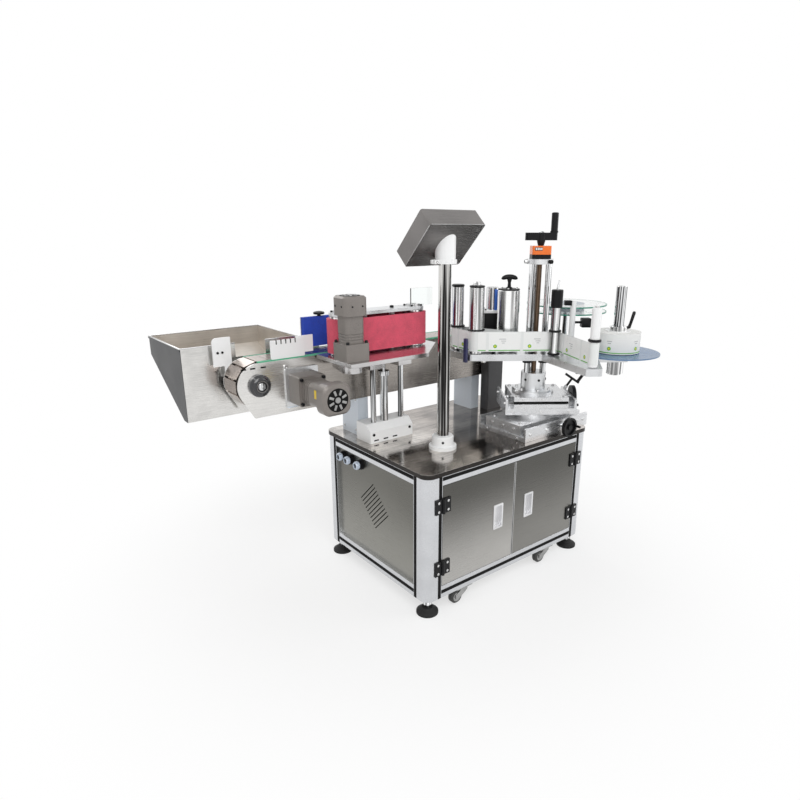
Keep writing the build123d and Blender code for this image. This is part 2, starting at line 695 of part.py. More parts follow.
def make_doors():
    """Two folded doors with pulls and leaf hinges."""
    low = RAIL_LOW_Z + RAIL + DOOR_GAP
    high = RAIL_HIGH_Z - DOOR_GAP
    edge = HALF_X - COLUMN
    face = -HALF_Y
    axis_x = edge - DOOR_GAP / 2
    axis_y = face - HINGE_KNUCKLE
    for side, name in ((-1, "left"), (1, "right")):
        near_x, far_x = DOOR_GAP, edge - DOOR_GAP
        door = block(near_x, far_x, face, face + DOOR_DEPTH, low, high)
        hollow_y = face + DOOR_SHEET
        door -= block(near_x + DOOR_SHEET, far_x - DOOR_SHEET, hollow_y, face + DOOR_DEPTH,
                      low + DOOR_SHEET, high - DOOR_SHEET)
        hole_x = PULL_X / 2 - PULL_RIM
        hole_z = PULL_Z / 2 - PULL_RIM
        window = (PULL_FROM_MIDDLE - hole_x, PULL_FROM_MIDDLE + hole_x)
        door -= block(*window, face, hollow_y, PULL_MIDDLE_Z - hole_z, PULL_MIDDLE_Z + hole_z)
        flange = Pos(PULL_FROM_MIDDLE, PULL_MIDDLE_Z) * RectangleRounded(PULL_X, PULL_Z, PULL_RIM)
        pull = plate_xz(flange, face - PULL_FLANGE, face)
        tray = block(window[0] + AIR, window[1] - AIR, face, face + PULL_DEPTH,
                     PULL_MIDDLE_Z - hole_z + AIR, PULL_MIDDLE_Z + hole_z - AIR)
        pull += tray
        cup = AIR + PULL_WALL
        pull -= block(window[0] + cup, window[1] - cup, face - PULL_FLANGE, face + PULL_DEPTH - PULL_WALL,
                      PULL_MIDDLE_Z - hole_z + cup, PULL_MIDDLE_Z + hole_z - cup)
        for middle in (HINGE_LOW_Z, HINGE_HIGH_Z):
            bottom = middle - HINGE_HEIGHT / 2
            third = HINGE_HEIGHT / 3
            clear = HINGE_KNUCKLE + AIR
            leaf_y = (face - HINGE_THICKNESS, face)
            fixed = block(axis_x + clear, axis_x + clear + HINGE_LEAF - HINGE_KNUCKLE, *leaf_y,
                          bottom, bottom + HINGE_HEIGHT)
            moving = block(axis_x - clear - HINGE_LEAF + HINGE_KNUCKLE, axis_x - clear, *leaf_y,
                           bottom, bottom + HINGE_HEIGHT)
            for part in (0, 2):
                levels = (bottom + part * third, bottom + (part + 1) * third)
                fixed += rod(axis_x, axis_y, *levels, HINGE_KNUCKLE)
                fixed += block(axis_x, axis_x + clear, axis_y, face - AIR, *levels)
            fixed += rod(axis_x, axis_y, bottom, bottom + HINGE_HEIGHT, HINGE_PIN)
            levels = (bottom + third + AIR, bottom + 2 * third - AIR)
            moving += rod(axis_x, axis_y, *levels, HINGE_KNUCKLE)
            moving += block(axis_x - clear, axis_x, axis_y, face - AIR, *levels)
            moving -= rod(axis_x, axis_y, *levels, HINGE_PIN + RUN_FIT)
            if side < 0:
                fixed = mirror(fixed, about=Plane.YZ)
                moving = mirror(moving, about=Plane.YZ)
            add("hinge_leaves", fixed)
            add("door_fittings_" + name, moving)
        if side < 0:
            door = mirror(door, about=Plane.YZ)
            pull = mirror(pull, about=Plane.YZ)
        add("door_" + name, door)
        add("door_fittings_" + name, pull)
        pivot("door_" + name, side * axis_x, axis_y, (low + high) / 2)


def make_casters():
    """Casters under the bottom rails, with their wheels trailing and just clear of the floor."""
    number = 0
    axle_z = CASTER_FLOOR_GAP + CASTER_RADIUS
    inside = CASTER_WIDTH / 2 + 2 * AIR
    outside = inside + CASTER_CHEEK
    plate_z = RAIL_LOW_Z - CASTER_PLATE
    crown_z = plate_z - CASTER_CROWN
    for side in (-1, 1):
        rail_face = side * HALF_Y
        rail_back = side * (HALF_Y - RAIL)
        y = side * (HALF_Y - CASTER_FROM_FACE)
        for x in (CASTER_LEFT_X, CASTER_RIGHT_X):
            number += 1
            axle_x = x - CASTER_TRAIL
            reach = CASTER_PLATE_X / 2
            fork = block(x - reach, x + reach, min(rail_face, rail_back), max(rail_face, rail_back),
                         plate_z, RAIL_LOW_Z)
            fork += rod(x, y, crown_z, plate_z, CASTER_RACE_RADIUS)
            fork += block(x - CASTER_CROWN_HALF, x + CASTER_CROWN_HALF, y - outside, y + outside,
                          crown_z + CASTER_CROWN / 2, plate_z - AIR)
            boss = 2 * CASTER_AXLE
            cheek = outline(
                (x + CASTER_CROWN_HALF, plate_z - AIR), (x - CASTER_CROWN_HALF, plate_z - AIR),
                (axle_x - boss, axle_z + boss), (axle_x - boss, axle_z - boss / 2),
                (axle_x + boss / 2, axle_z - boss), (x + CASTER_CROWN_HALF, crown_z))
            for y0, y1 in ((y - outside, y - inside), (y + inside, y + outside)):
                fork += plate_xz(cheek, y0, y1)
            fork -= rod_y(axle_x, y - inside, y + inside, axle_z, CASTER_RADIUS + 2 * AIR)
            fork += rod_y(axle_x, y - inside, y + inside, axle_z, CASTER_AXLE)
            wheel = rod_y(axle_x, y - CASTER_WIDTH / 2, y + CASTER_WIDTH / 2, axle_z, CASTER_RADIUS)
            wheel = chamfer(wheel.edges().filter_by(GeomType.CIRCLE), CASTER_TREAD_CHAMFER)
            wheel -= rod_y(axle_x, y - CASTER_WIDTH, y + CASTER_WIDTH, axle_z, CASTER_AXLE + RUN_FIT)
            add("caster_forks", fork)
            add("caster_wheel_%d" % number, wheel)
            pivot("caster_wheel_%d" % number, axle_x, y, axle_z)


def make_operator_panel():
    """Column with a tilted housing that swivels on it."""
    base = rod(HMI_X, HMI_Y, TABLE_TOP, TABLE_TOP + HMI_FLANGE_HEIGHT, HMI_FLANGE_RADIUS)
    collar_top = TABLE_TOP + HMI_FLANGE_HEIGHT + HMI_COLLAR_HEIGHT
    base += rod(HMI_X, HMI_Y, TABLE_TOP, collar_top, HMI_COLLAR_RADIUS)
    base = chamfer(base.edges().filter_by(GeomType.CIRCLE).group_by(Axis.Z)[-1], HMI_COLLAR_CHAMFER)
    tube = rod(HMI_X, HMI_Y, collar_top, HMI_TUBE_TOP, HMI_TUBE_RADIUS)
    tube -= rod(HMI_X, HMI_Y, collar_top, HMI_TUBE_TOP, HMI_TUBE_RADIUS - HMI_TUBE_WALL)
    add("hmi_column", base)
    add("hmi_column", tube)

    back_z = HMI_TUBE_TOP + HMI_BACK_RISE
    tilt = Pos(HMI_X, HMI_Y, back_z) * Rot(HMI_TILT - 90, 0, 0)
    case = rounded(Box(HMI_WIDTH, HMI_HEIGHT, HMI_DEPTH), Axis.Z, HMI_ROUND)
    housing = tilt * Pos(0, 0, HMI_DEPTH / 2) * case
    front = tilt * Pos(0, 0, HMI_DEPTH - HMI_SCREEN_DEPTH / 2)
    housing -= front * Box(HMI_SCREEN_X, HMI_SCREEN_Y, HMI_SCREEN_DEPTH)
    screen = front * Box(HMI_SCREEN_X - 2 * AIR, HMI_SCREEN_Y - 2 * AIR, HMI_SCREEN_DEPTH)
    add("hmi_housing", housing)
    add("hmi_housing", screen)

    clamp_z = HMI_TUBE_TOP - HMI_CLAMP_GRIP
    clamp = rod(HMI_X, HMI_Y, clamp_z, back_z + HMI_HEIGHT, HMI_CLAMP_RADIUS)
    clamp += rod(HMI_X, HMI_Y, clamp_z, clamp_z + HMI_CLAMP_RING_HEIGHT, HMI_CLAMP_RING)
    clamp -= tilt * Pos(0, 0, HMI_HEIGHT) * Box(2 * HMI_WIDTH, 4 * HMI_HEIGHT, 2 * HMI_HEIGHT)
    clamp -= rod(HMI_X, HMI_Y, clamp_z, HMI_TUBE_TOP + AIR, HMI_TUBE_RADIUS + RUN_FIT)
    add("hmi_clamp", clamp)
    pivot("hmi_swivel", HMI_X, HMI_Y, clamp_z)


def chain_link():
    """One flat plate with the hinge barrel on its first pin, in its own X-Z frame."""
    plate = block(CHAIN_PLATE_GAP, CHAIN_PITCH - CHAIN_PLATE_GAP, -CHAIN_WIDTH / 2, CHAIN_WIDTH / 2,
                  CHAIN_PIN_DROP - CHAIN_PLATE, CHAIN_PIN_DROP)
    half = CHAIN_BARREL_WIDTH / 2
    barrel = plate_xz(RegularPolygon(CHAIN_BARREL, 8, rotation=22.5), -half, half)
    web = block(CHAIN_PLATE_GAP, CHAIN_BARREL, -half, half, 0, CHAIN_PIN_DROP - CHAIN_PLATE)
    return plate + web + barrel


def sprocket(x):
    """Toothed wheel whose gaps take the chain's barrels, with its shaft."""
    teeth = 4 * CHAIN_END_LINKS
    tip = SPROCKET_PITCH_RADIUS - CHAIN_BARREL - AIR
    root = tip - SPROCKET_TOOTH
    points = []
    for k in range(teeth):
        middle = pi / 2 + (k + 0.5) * 2 * pi / teeth
        for radius, turn in ((root, -5.2), (tip, -2.4), (tip, 2.4), (root, 5.2)):
            angle = middle + radians(turn)
            points.append((x + radius * cos(angle), SHAFT_Z + radius * sin(angle)))
    half = SPROCKET_WIDTH / 2
    wheel = plate_xz(outline(*points), CONVEYOR_Y - half, CONVEYOR_Y + half)
    for k in range(5):
        angle = 2 * pi * k / 5
        reach = SPROCKET_PITCH_RADIUS * 0.58
        hole_x = x + reach * cos(angle)
        hole_z = SHAFT_Z + reach * sin(angle)
        wheel -= rod_y(hole_x, CONVEYOR_Y - half, CONVEYOR_Y + half, hole_z, SPROCKET_PITCH_RADIUS * 0.17)
    shaft = rod_y(x, NEAR_OUT - BEARING_THICKNESS, FAR_OUT + BEARING_THICKNESS, SHAFT_Z, SHAFT_RADIUS)
    return wheel + shaft


def side_plate():
    """Outline of a conveyor side plate: a round nose at each end that tapers to a straight lower edge."""
    nose = PLATE_TOP_Z - SHAFT_Z
    corner = SIDE_PLATE_ROUND
    heel_z = PLATE_LOW_Z + corner
    shape = loop_face([
        (DRIVE_X, SHAFT_Z, nose, 1), (DRIVE_X - SIDE_PLATE_HEEL + corner, heel_z, corner, 1),
        (TAIL_X + SIDE_PLATE_HEEL - corner, heel_z, corner, 1), (TAIL_X, SHAFT_Z, nose, 1)], 0)
    for x in (DRIVE_X, TAIL_X):
        shape -= Pos(x, SHAFT_Z) * Circle(SHAFT_RADIUS + SHAFT_ROOM)
    return shape


def make_conveyor():
    """Side plates, chain, sprockets, drive and stands."""
    shape = side_plate()
    near_shape = shape - Pos(MOTOR_X, MOTOR_Z) * Circle(MOTOR_SHAFT + SHAFT_ROOM)
    near = plate_xz(near_shape, NEAR_OUT, NEAR_IN)
    far = plate_xz(shape, FAR_IN, FAR_OUT)
    add("conveyor_frame", near, far)

    rail_top = CONVEYOR_TOP - CHAIN_PLATE - AIR
    rail_low = rail_top - CARRY_RAIL_HEIGHT
    clear = SPROCKET_PITCH_RADIUS + CHAIN_PIN_DROP
    rails = None
    for side in (-1, 1):
        y = CONVEYOR_Y + side * CARRY_RAIL_OFFSET
        half = CARRY_RAIL_WIDTH / 2
        bar = block(DRIVE_X + clear, TAIL_X - clear, y - half, y + half, rail_low, rail_top)
        rails = bar if rails is None else rails + bar
    first_bar = DRIVE_X + clear + CROSS_BAR
    bar_run = TAIL_X - DRIVE_X - 2 * clear - 2 * CROSS_BAR
    for i in range(CROSS_BARS):
        x = first_bar + bar_run * i / (CROSS_BARS - 1)
        rails += block(x - CROSS_BAR / 2, x + CROSS_BAR / 2, NEAR_IN, FAR_IN, rail_low - CROSS_BAR, rail_low)
    add("conveyor_frame", rails)

    for y in (NEAR_OUT, FAR_OUT - WEAR_STRIP_WIDTH):
        add("wear_strips", block(DRIVE_X, TAIL_X, y, y + WEAR_STRIP_WIDTH, PLATE_TOP_Z, CONVEYOR_TOP))

    pins = []
    for i in range(CHAIN_STRAIGHT_LINKS):
        pins.append((DRIVE_X + i * CHAIN_PITCH, SHAFT_Z + SPROCKET_PITCH_RADIUS))
    step = pi / CHAIN_END_LINKS
    wrap = SPROCKET_PITCH_RADIUS
    for i in range(CHAIN_END_LINKS):
        angle = pi / 2 - i * step
        pins.append((TAIL_X + wrap * cos(angle), SHAFT_Z + wrap * sin(angle)))
    for i in range(CHAIN_STRAIGHT_LINKS):
        pins.append((TAIL_X - i * CHAIN_PITCH, SHAFT_Z - SPROCKET_PITCH_RADIUS))
    for i in range(CHAIN_END_LINKS):
        angle = -pi / 2 - i * step
        pins.append((DRIVE_X + wrap * cos(angle), SHAFT_Z + wrap * sin(angle)))
    link = chain_link()
    for i, (x, z) in enumerate(pins):
        next_x, next_z = pins[(i + 1) % len(pins)]
        heading = degrees(atan2(next_z - z, next_x - x))
        add("conveyor_chain", Pos(x, CONVEYOR_Y, z) * Rot(0, -heading, 0) * link)

    drive = sprocket(DRIVE_X)
    pulley_y = NEAR_IN + PULLEY_GAP
    drive += rod_y(DRIVE_X, pulley_y, pulley_y + PULLEY_WIDTH, SHAFT_Z, PULLEY_RADIUS)
    add("drive_sprocket", drive)
    add("tail_sprocket", sprocket(TAIL_X))
    pivot("drive_sprocket", DRIVE_X, CONVEYOR_Y, SHAFT_Z)
    pivot("tail_sprocket", TAIL_X, CONVEYOR_Y, SHAFT_Z)
    for x in (DRIVE_X, TAIL_X):
        for seat, out in ((NEAR_OUT, -1), (FAR_OUT, 1)):
            rim = seat + out * BEARING_THICKNESS
            y0, y1 = min(seat, rim), max(seat, rim)
            unit = rod_y(x, y0, y1, SHAFT_Z, BEARING_RADIUS)
            outer = unit.edges().filter_by(GeomType.CIRCLE).sort_by(Axis.Y)[0 if out < 0 else -1]
            unit = chamfer(outer, BEARING_THICKNESS * 0.4)
            unit -= rod_y(x, y0, y1, SHAFT_Z, SHAFT_RADIUS + RUN_FIT)
            add("shaft_bearings", unit)

    for x in (STAND_LEFT_X, STAND_RIGHT_X):
        web = block(x, x + STAND_SHEET, NEAR_IN, FAR_IN, TABLE_TOP, PLATE_LOW_Z + STAND_OVERLAP)
        web += block(x, x + STAND_FOOT, NEAR_IN, FAR_IN, TABLE_TOP, TABLE_TOP + STAND_SHEET)
        for y0, y1 in ((NEAR_IN, NEAR_IN + STAND_SHEET), (FAR_IN - STAND_SHEET, FAR_IN)):
            web += block(x, x + STAND_FOOT, y0, y1, TABLE_TOP, PLATE_LOW_Z + STAND_OVERLAP)
        add("conveyor_brackets", web)

    face_y = NEAR_OUT - MOTOR_PLATE_SHEET
    carrier = Pos(MOTOR_X, MOTOR_Z) * RectangleRounded(MOTOR_PLATE_X, MOTOR_PLATE_Z, MOTOR_PLATE_ROUND)
    carrier -= Pos(MOTOR_X, MOTOR_Z) * Circle(MOTOR_SHAFT + SHAFT_ROOM)
    add("conveyor_brackets", plate_xz(carrier, face_y, NEAR_OUT))
    lay = Pos(MOTOR_X, face_y, MOTOR_Z) * Rot(90, 0, 0)
    case, barrel = gearmotor(MOTOR_SIZE, MOTOR_GEARBOX, MOTOR_BODY, MOTOR_CAP, MOTOR_SHAFT)
    add("conveyor_gearmotor", lay * case, lay * barrel)
    shaft = rod_y(MOTOR_X, face_y - MOTOR_GEARBOX * 0.25, pulley_y + PULLEY_WIDTH, MOTOR_Z, MOTOR_SHAFT)
    shaft += rod_y(MOTOR_X, pulley_y, pulley_y + PULLEY_WIDTH, MOTOR_Z, PULLEY_RADIUS)
    add("motor_pulley", shaft)
    pivot("motor_pulley", MOTOR_X, pulley_y, MOTOR_Z)
    rounds = [(MOTOR_X, MOTOR_Z, PULLEY_RADIUS, 1), (DRIVE_X, SHAFT_Z, PULLEY_RADIUS, 1)]
    belt_y = pulley_y + (PULLEY_WIDTH - BELT_WIDTH) / 2
    add("conveyor_drive_belt", plate_xz(belt_face(rounds, AIR, BELT_THICKNESS), belt_y, belt_y + BELT_WIDTH))


def make_guides_and_bin():
    """Guide plates over the chain, the end stop and the collecting bin."""
    guide_y = NEAR_OUT + GUIDE_SET_BACK
    tail_y = guide_y + GUIDE_SHEET
    white = rounded(block(GUIDE_X0, GUIDE_X1, guide_y, tail_y, CONVEYOR_TOP, GUIDE_TOP), Axis.Y, GUIDE_ROUND)
    tail = block(GUIDE_TAIL_X0, GUIDE_TAIL_X1, tail_y, tail_y + GUIDE_SHEET,
                 CONVEYOR_TOP + GUIDE_TAIL_LIFT, GUIDE_TOP + GUIDE_TAIL_LIFT / 2)
    add("guide_plates", white, tail)
    tab_x = STOP_X1 - STOP_TAB
    stop = outline(
        (STOP_X0, STOP_TOP), (STOP_X0, STOP_LOW), (tab_x, STOP_LOW), (tab_x, STOP_BOTTOM),
        (STOP_X1, STOP_BOTTOM), (STOP_X1, STOP_TOP))
    stop = fillet(stop.vertices().sort_by(lambda v: v.X - v.Y)[0], STOP_ROUND)
    add("guide_plates", plate_xz(stop, FAR_OUT, FAR_OUT + STOP_SHEET))

    near = FAR_OUT + BIN_STANDOFF
    far = near + BIN_DEPTH_Y
    low_far = BIN_RIM_Z - BIN_FAR_WALL
    flat = near + BIN_FLAT
    outer = outline((near, BIN_RIM_Z), (near, BIN_FLOOR_Z), (flat, BIN_FLOOR_Z),
                    (far, low_far), (far, BIN_RIM_Z))
    t = BIN_SHEET
    inner = outline((near + t, BIN_RIM_Z), (near + t, BIN_FLOOR_Z + t), (flat, BIN_FLOOR_Z + t),
                    (far - t, low_far + t), (far - t, BIN_RIM_Z))
    shell = plate_yz(outer, BIN_X0, BIN_X1) - plate_yz(inner, BIN_X0 + t, BIN_X1 - t)
    hem = block(BIN_X0 - t, BIN_X1 + t, near, far + t, BIN_RIM_Z - BIN_HEM, BIN_RIM_Z)
    hem -= block(BIN_X0, BIN_X1, near, far, BIN_RIM_Z - BIN_HEM, BIN_RIM_Z)
    shell += hem
    shell -= block(BIN_NOTCH_X0, BIN_NOTCH_X1, near - t, near + 2 * t, BIN_NOTCH_Z, BIN_RIM_Z)
    for x in BIN_BOSS_X:
        shell += rod_y(x, FAR_OUT, near, BIN_BOSS_Z, BIN_BOSS_RADIUS)
    add("collecting_bin", shell)


def make_wrap_station():
    """Belt unit on its posts, and the backing pad across the chain."""
    top = TABLE_TOP + PRESS_BLOCK_HEIGHT
    carrier = block(PRESS_BLOCK_X0, PRESS_BLOCK_X1, PRESS_BLOCK_Y0, PRESS_BLOCK_Y1, TABLE_TOP, top)
    front = carrier.edges().filter_by(Axis.X).group_by(Axis.Z)[-1].sort_by(Axis.Y)[0]
    carrier = chamfer(front, PRESS_BLOCK_CHAMFER)
    add("press_stand", carrier)
    post_top = PRESS_PLATE_Z - AIR
    posts = [rod(x, PRESS_POST_Y, top, post_top, PRESS_POST_RADIUS) for x in PRESS_POST_X]
    collar_top = PRESS_LIFT_COLLAR_Z + PRESS_LIFT_COLLAR_HEIGHT
    lift = rod(PRESS_LIFT_X, PRESS_POST_Y, top, collar_top, PRESS_LIFT_TUBE)
    lift += rod(PRESS_LIFT_X, PRESS_POST_Y, PRESS_LIFT_COLLAR_Z, collar_top, PRESS_LIFT_COLLAR)
    lift += rod(PRESS_LIFT_X, PRESS_POST_Y, collar_top, post_top, PRESS_LIFT_ROD)
    add("press_stand", *posts, lift)

    plan = outline(
        (PRESS_PLATE_X0, PRESS_PLATE_Y0), (PRESS_BEVEL_X, PRESS_PLATE_Y0), (PRESS_PLATE_X1, PRESS_BEVEL_Y),
        (PRESS_PLATE_X1, PRESS_PLATE_Y1), (PRESS_PLATE_X0, PRESS_PLATE_Y1))
    plate_top = PRESS_PLATE_Z + PRESS_PLATE
    plate = plate_xy(plan, PRESS_PLATE_Z, plate_top)
    clamp_z = PRESS_PLATE_Z - PRESS_CLAMP_HEIGHT
    for x in PRESS_POST_X:
        plate += block(x - PRESS_CLAMP_HALF, x + PRESS_CLAMP_HALF, PRESS_POST_Y - PRESS_CLAMP_HALF,
                       PRESS_POST_Y + PRESS_CLAMP_HALF, clamp_z, PRESS_PLATE_Z)
        plate -= rod(x, PRESS_POST_Y, clamp_z, PRESS_PLATE_Z, PRESS_POST_RADIUS + RUN_FIT)
    case_rounds = [(PRESS_MOTOR_X, PRESS_MOTOR_Y, PRESS_HOUSING_RADIUS, 1),
                   (PRESS_ROLLER_X[0], PRESS_ROLLER_Y, PRESS_HOUSING_RADIUS, 1)]
    plate += plate_xy(loop_face(case_rounds, 0), PRESS_PLATE_Z - PRESS_HOUSING_HEIGHT, PRESS_PLATE_Z)
    for x in PRESS_ROLLER_X:
        plate -= rod(x, PRESS_ROLLER_Y, PRESS_PLATE_Z, plate_top, PRESS_SHAFT_RADIUS + RUN_FIT)
    add("press_plate", plate)

    bridge_top = PRESS_BRIDGE_Z + PRESS_BRIDGE
    rounds = [(x, PRESS_ROLLER_Y, PRESS_BRIDGE_HALF, 1) for x in reversed(PRESS_ROLLER_X)]
    bridge = plate_xy(loop_face(rounds, 0), PRESS_BRIDGE_Z, bridge_top)
    for x in PRESS_ROLLER_X:
        bridge -= rod(x, PRESS_ROLLER_Y, PRESS_BRIDGE_Z, bridge_top, PRESS_SHAFT_RADIUS + RUN_FIT)
    for x in PRESS_PILLAR_X:
        bridge += rod(x, PRESS_ROLLER_Y, plate_top, PRESS_BRIDGE_Z, PRESS_PILLAR_RADIUS)
    add("press_bridge", bridge)

    for x, name in zip(PRESS_ROLLER_X, ("press_drive_roller", "press_tail_roller")):
        low = plate_top + PRESS_ROLLER_GAP
        high = PRESS_BRIDGE_Z - PRESS_ROLLER_GAP
        roller = rod(x, PRESS_ROLLER_Y, low, high, PRESS_ROLLER_RADIUS)
        shaft_top = bridge_top + PRESS_SHAFT_PROUD
        roller += rod(x, PRESS_ROLLER_Y, PRESS_PLATE_Z + AIR, shaft_top, PRESS_SHAFT_RADIUS)
        add(name, roller)
        pivot(name, x, PRESS_ROLLER_Y, low)
    drums = [(x, PRESS_ROLLER_Y, PRESS_ROLLER_RADIUS, 1) for x in reversed(PRESS_ROLLER_X)]
    belt = belt_face(drums, AIR, PRESS_BELT)
    add("press_belt", plate_xy(belt, PRESS_BELT_Z0, PRESS_BELT_Z0 + PRESS_BELT_HEIGHT))

    case, barrel = gearmotor(PRESS_MOTOR_SIZE, PRESS_GEARBOX, PRESS_MOTOR_BODY, PRESS_MOTOR_CAP, MOTOR_SHAFT)
    stand = Pos(PRESS_MOTOR_X, PRESS_MOTOR_Y, plate_top)
    add("press_gearmotor", stand * case, stand * barrel)
    guard_y = PRESS_ROLLER_Y - PRESS_BRIDGE_HALF / 2
    guard = block(GUARD_X0, GUARD_X1, guard_y, guard_y + GUARD_SHEET, bridge_top, bridge_top + GUARD_HEIGHT)
    foot_y = PRESS_ROLLER_Y - PRESS_SHAFT_RADIUS - GUARD_FOOT_ROOM
    foot_top = bridge_top + GUARD_SHEET
    guard += block(GUARD_X0, GUARD_X1 - PRESS_BRIDGE_HALF, guard_y, foot_y, bridge_top, foot_top)
    add("press_guard", guard)

    pad_low = CONVEYOR_TOP + PAD_LIFT
    pad_high = pad_low + PAD_HEIGHT
    back = PAD_Y + PAD_THICKNESS
    pad = block(PAD_X0, PAD_X1, PAD_Y, back, pad_low, pad_high)
    add("backing_pad", rounded(pad, Axis.Z, PAD_THICKNESS * 0.4))
    rod_z = (pad_low + pad_high) / 2
    holder = block(PAD_X0, PAD_X1, back, back + PAD_PLATE, pad_low, pad_high)
    for x in PAD_ROD_X:
        holder += rod_y(x, back, back + PAD_PLATE + PAD_ROD_LENGTH, rod_z, PAD_ROD_RADIUS)
    add("backing_pad", holder)
    for x in PAD_ROD_X:
        x0, x1 = x - PAD_BRACKET_WIDTH / 2, x + PAD_BRACKET_WIDTH / 2
        y0 = FAR_OUT + PAD_BRACKET_Y
        y1 = y0 + PAD_BRACKET
        low = PAD_BRACKET_FOOT_Z
        bracket = block(x0, x1, y0, y1, low, rod_z + PAD_BRACKET_OVER)
        bracket += block(x0, x1, FAR_OUT, y0, low, low + PAD_BRACKET_FOOT)
        bracket -= rod_y(x, y0, y1, rod_z, PAD_ROD_RADIUS + RUN_FIT)
        add("conveyor_brackets", bracket)


def make_slides():
    """Cross slides that carry the label head, with their screws and handwheels."""
    low = TABLE_TOP
    bed = low + LOWER_BASE
    base = block(LOWER_X0, LOWER_X1, LOWER_Y0, LOWER_Y1, low, bed)
    for y in (LOWER_Y0, LOWER_Y1 - LOWER_END):
        base += block(LOWER_X0, LOWER_X1, y, y + LOWER_END, bed, bed + LOWER_END_HEIGHT)
    ways = (LOWER_X0 + LOWER_WAY_INSET, LOWER_X1 - LOWER_WAY_INSET - LOWER_WAY_WIDTH)
    lean = LOWER_WAY_HEIGHT * 0.5
    way_top = bed + LOWER_WAY_HEIGHT
    for x in ways:
        x1 = x + LOWER_WAY_WIDTH
        tail = outline((x + lean, bed), (x1 - lean, bed), (x1, way_top), (x, way_top))
        base += plate_xz(tail, LOWER_Y0, LOWER_Y1)
    screw_x = LOWER_SCREW_X
    screw_z = low + LOWER_SCREW_Z
    base -= rod_y(screw_x, LOWER_Y0, LOWER_Y0 + LOWER_END, screw_z, LOWER_SCREW_RADIUS + RUN_FIT)
    base -= rod_y(screw_x, LOWER_Y1 - LOWER_END, LOWER_Y1, screw_z, LOWER_SCREW_RADIUS + RUN_FIT)
    add("lower_slide_base", base)

    y0 = LOWER_Y0 + LOWER_END + LOWER_CARRIAGE_MARGIN
    y1 = LOWER_Y1 - LOWER_END - LOWER_CARRIAGE_MARGIN
    carriage = block(LOWER_X0 + LOWER_CARRIAGE_INSET, LOWER_X1 - LOWER_CARRIAGE_INSET, y0, y1,
                     bed + AIR, SWIVEL_Z)
    for x in ways:
        x1 = x + LOWER_WAY_WIDTH
        groove = outline(
            (x + lean - 2 * AIR, bed), (x1 - lean + 2 * AIR, bed), (x1 + 2 * AIR, way_top + AIR),
            (x - 2 * AIR, way_top + AIR))
        carriage -= plate_xz(groove, y0, y1)
    carriage -= rod_y(screw_x, y0, y1, screw_z, LOWER_SCREW_RADIUS + AIR)
    pin_low = SWIVEL_Z - SWIVEL_PIN_LENGTH
    carriage -= rod(PILLAR_X, PILLAR_Y, pin_low - AIR, SWIVEL_Z, SWIVEL_PIN_RADIUS + RUN_FIT)
    add("lower_carriage", carriage)

    wheel_y = LOWER_Y0 - LOWER_WHEEL_REACH
    screw = rod_y(screw_x, wheel_y, LOWER_Y1, screw_z, LOWER_SCREW_RADIUS)
    wheel = handwheel(LOWER_WHEEL_RADIUS, LOWER_WHEEL_WIDTH, LOWER_SCREW_RADIUS * 1.6)
    screw += Pos(screw_x, wheel_y + LOWER_WHEEL_WIDTH, screw_z) * Rot(90, 0, 0) * wheel
    add("lower_handwheel", screw)
    pivot("lower_handwheel", screw_x, wheel_y, screw_z)
    pivot("head_swivel", PILLAR_X, PILLAR_Y, SWIVEL_Z)

    base = rod(0, 0, SWIVEL_Z, UPPER_Z, SWIVEL_RADIUS)
    base += rod(0, 0, pin_low, SWIVEL_Z, SWIVEL_PIN_RADIUS)
    base += block(UPPER_U0, UPPER_U1, -UPPER_HALF_V, UPPER_HALF_V, UPPER_Z, UPPER_TOP)
    for u in (UPPER_U0, UPPER_U1 - UPPER_END):
        base += block(u, u + UPPER_END, -UPPER_HALF_V, UPPER_HALF_V, UPPER_TOP, UPPER_TOP + UPPER_END_HEIGHT)
    ways = (-UPPER_HALF_V + UPPER_WAY_INSET, UPPER_HALF_V - UPPER_WAY_INSET - UPPER_WAY_WIDTH)
    lean = UPPER_WAY_HEIGHT * 0.5
    way_top = UPPER_TOP + UPPER_WAY_HEIGHT
    for v in ways:
        v1 = v + UPPER_WAY_WIDTH
        tail = outline((v + lean, UPPER_TOP), (v1 - lean, UPPER_TOP), (v1, way_top), (v, way_top))
        base += plate_yz(tail, UPPER_U0, UPPER_U1)
    screw_z = UPPER_TOP + UPPER_SCREW_RISE
    for u in (UPPER_U0, UPPER_U1 - UPPER_END):
        base -= rod_x(u, u + UPPER_END, 0, screw_z, UPPER_SCREW_RADIUS + RUN_FIT)
    crank_u = UPPER_U1 - CLAMP_CRANK_EDGE
    crank_z = UPPER_TOP + UPPER_END_HEIGHT
    lay = Pos(crank_u, CLAMP_CRANK_V, crank_z) * Rot(0, CLAMP_CRANK_TILT, 0)
    base += lay * rod(0, 0, -CLAMP_BOSS_SEAT, CLAMP_BOSS_HEIGHT, CLAMP_BOSS_RADIUS)
    base -= lay * rod(0, 0, CLAMP_BOSS_FLOOR, CLAMP_BOSS_HEIGHT, CLAMP_CRANK_SHAFT + RUN_FIT)
    add_head("upper_slide_base", base)

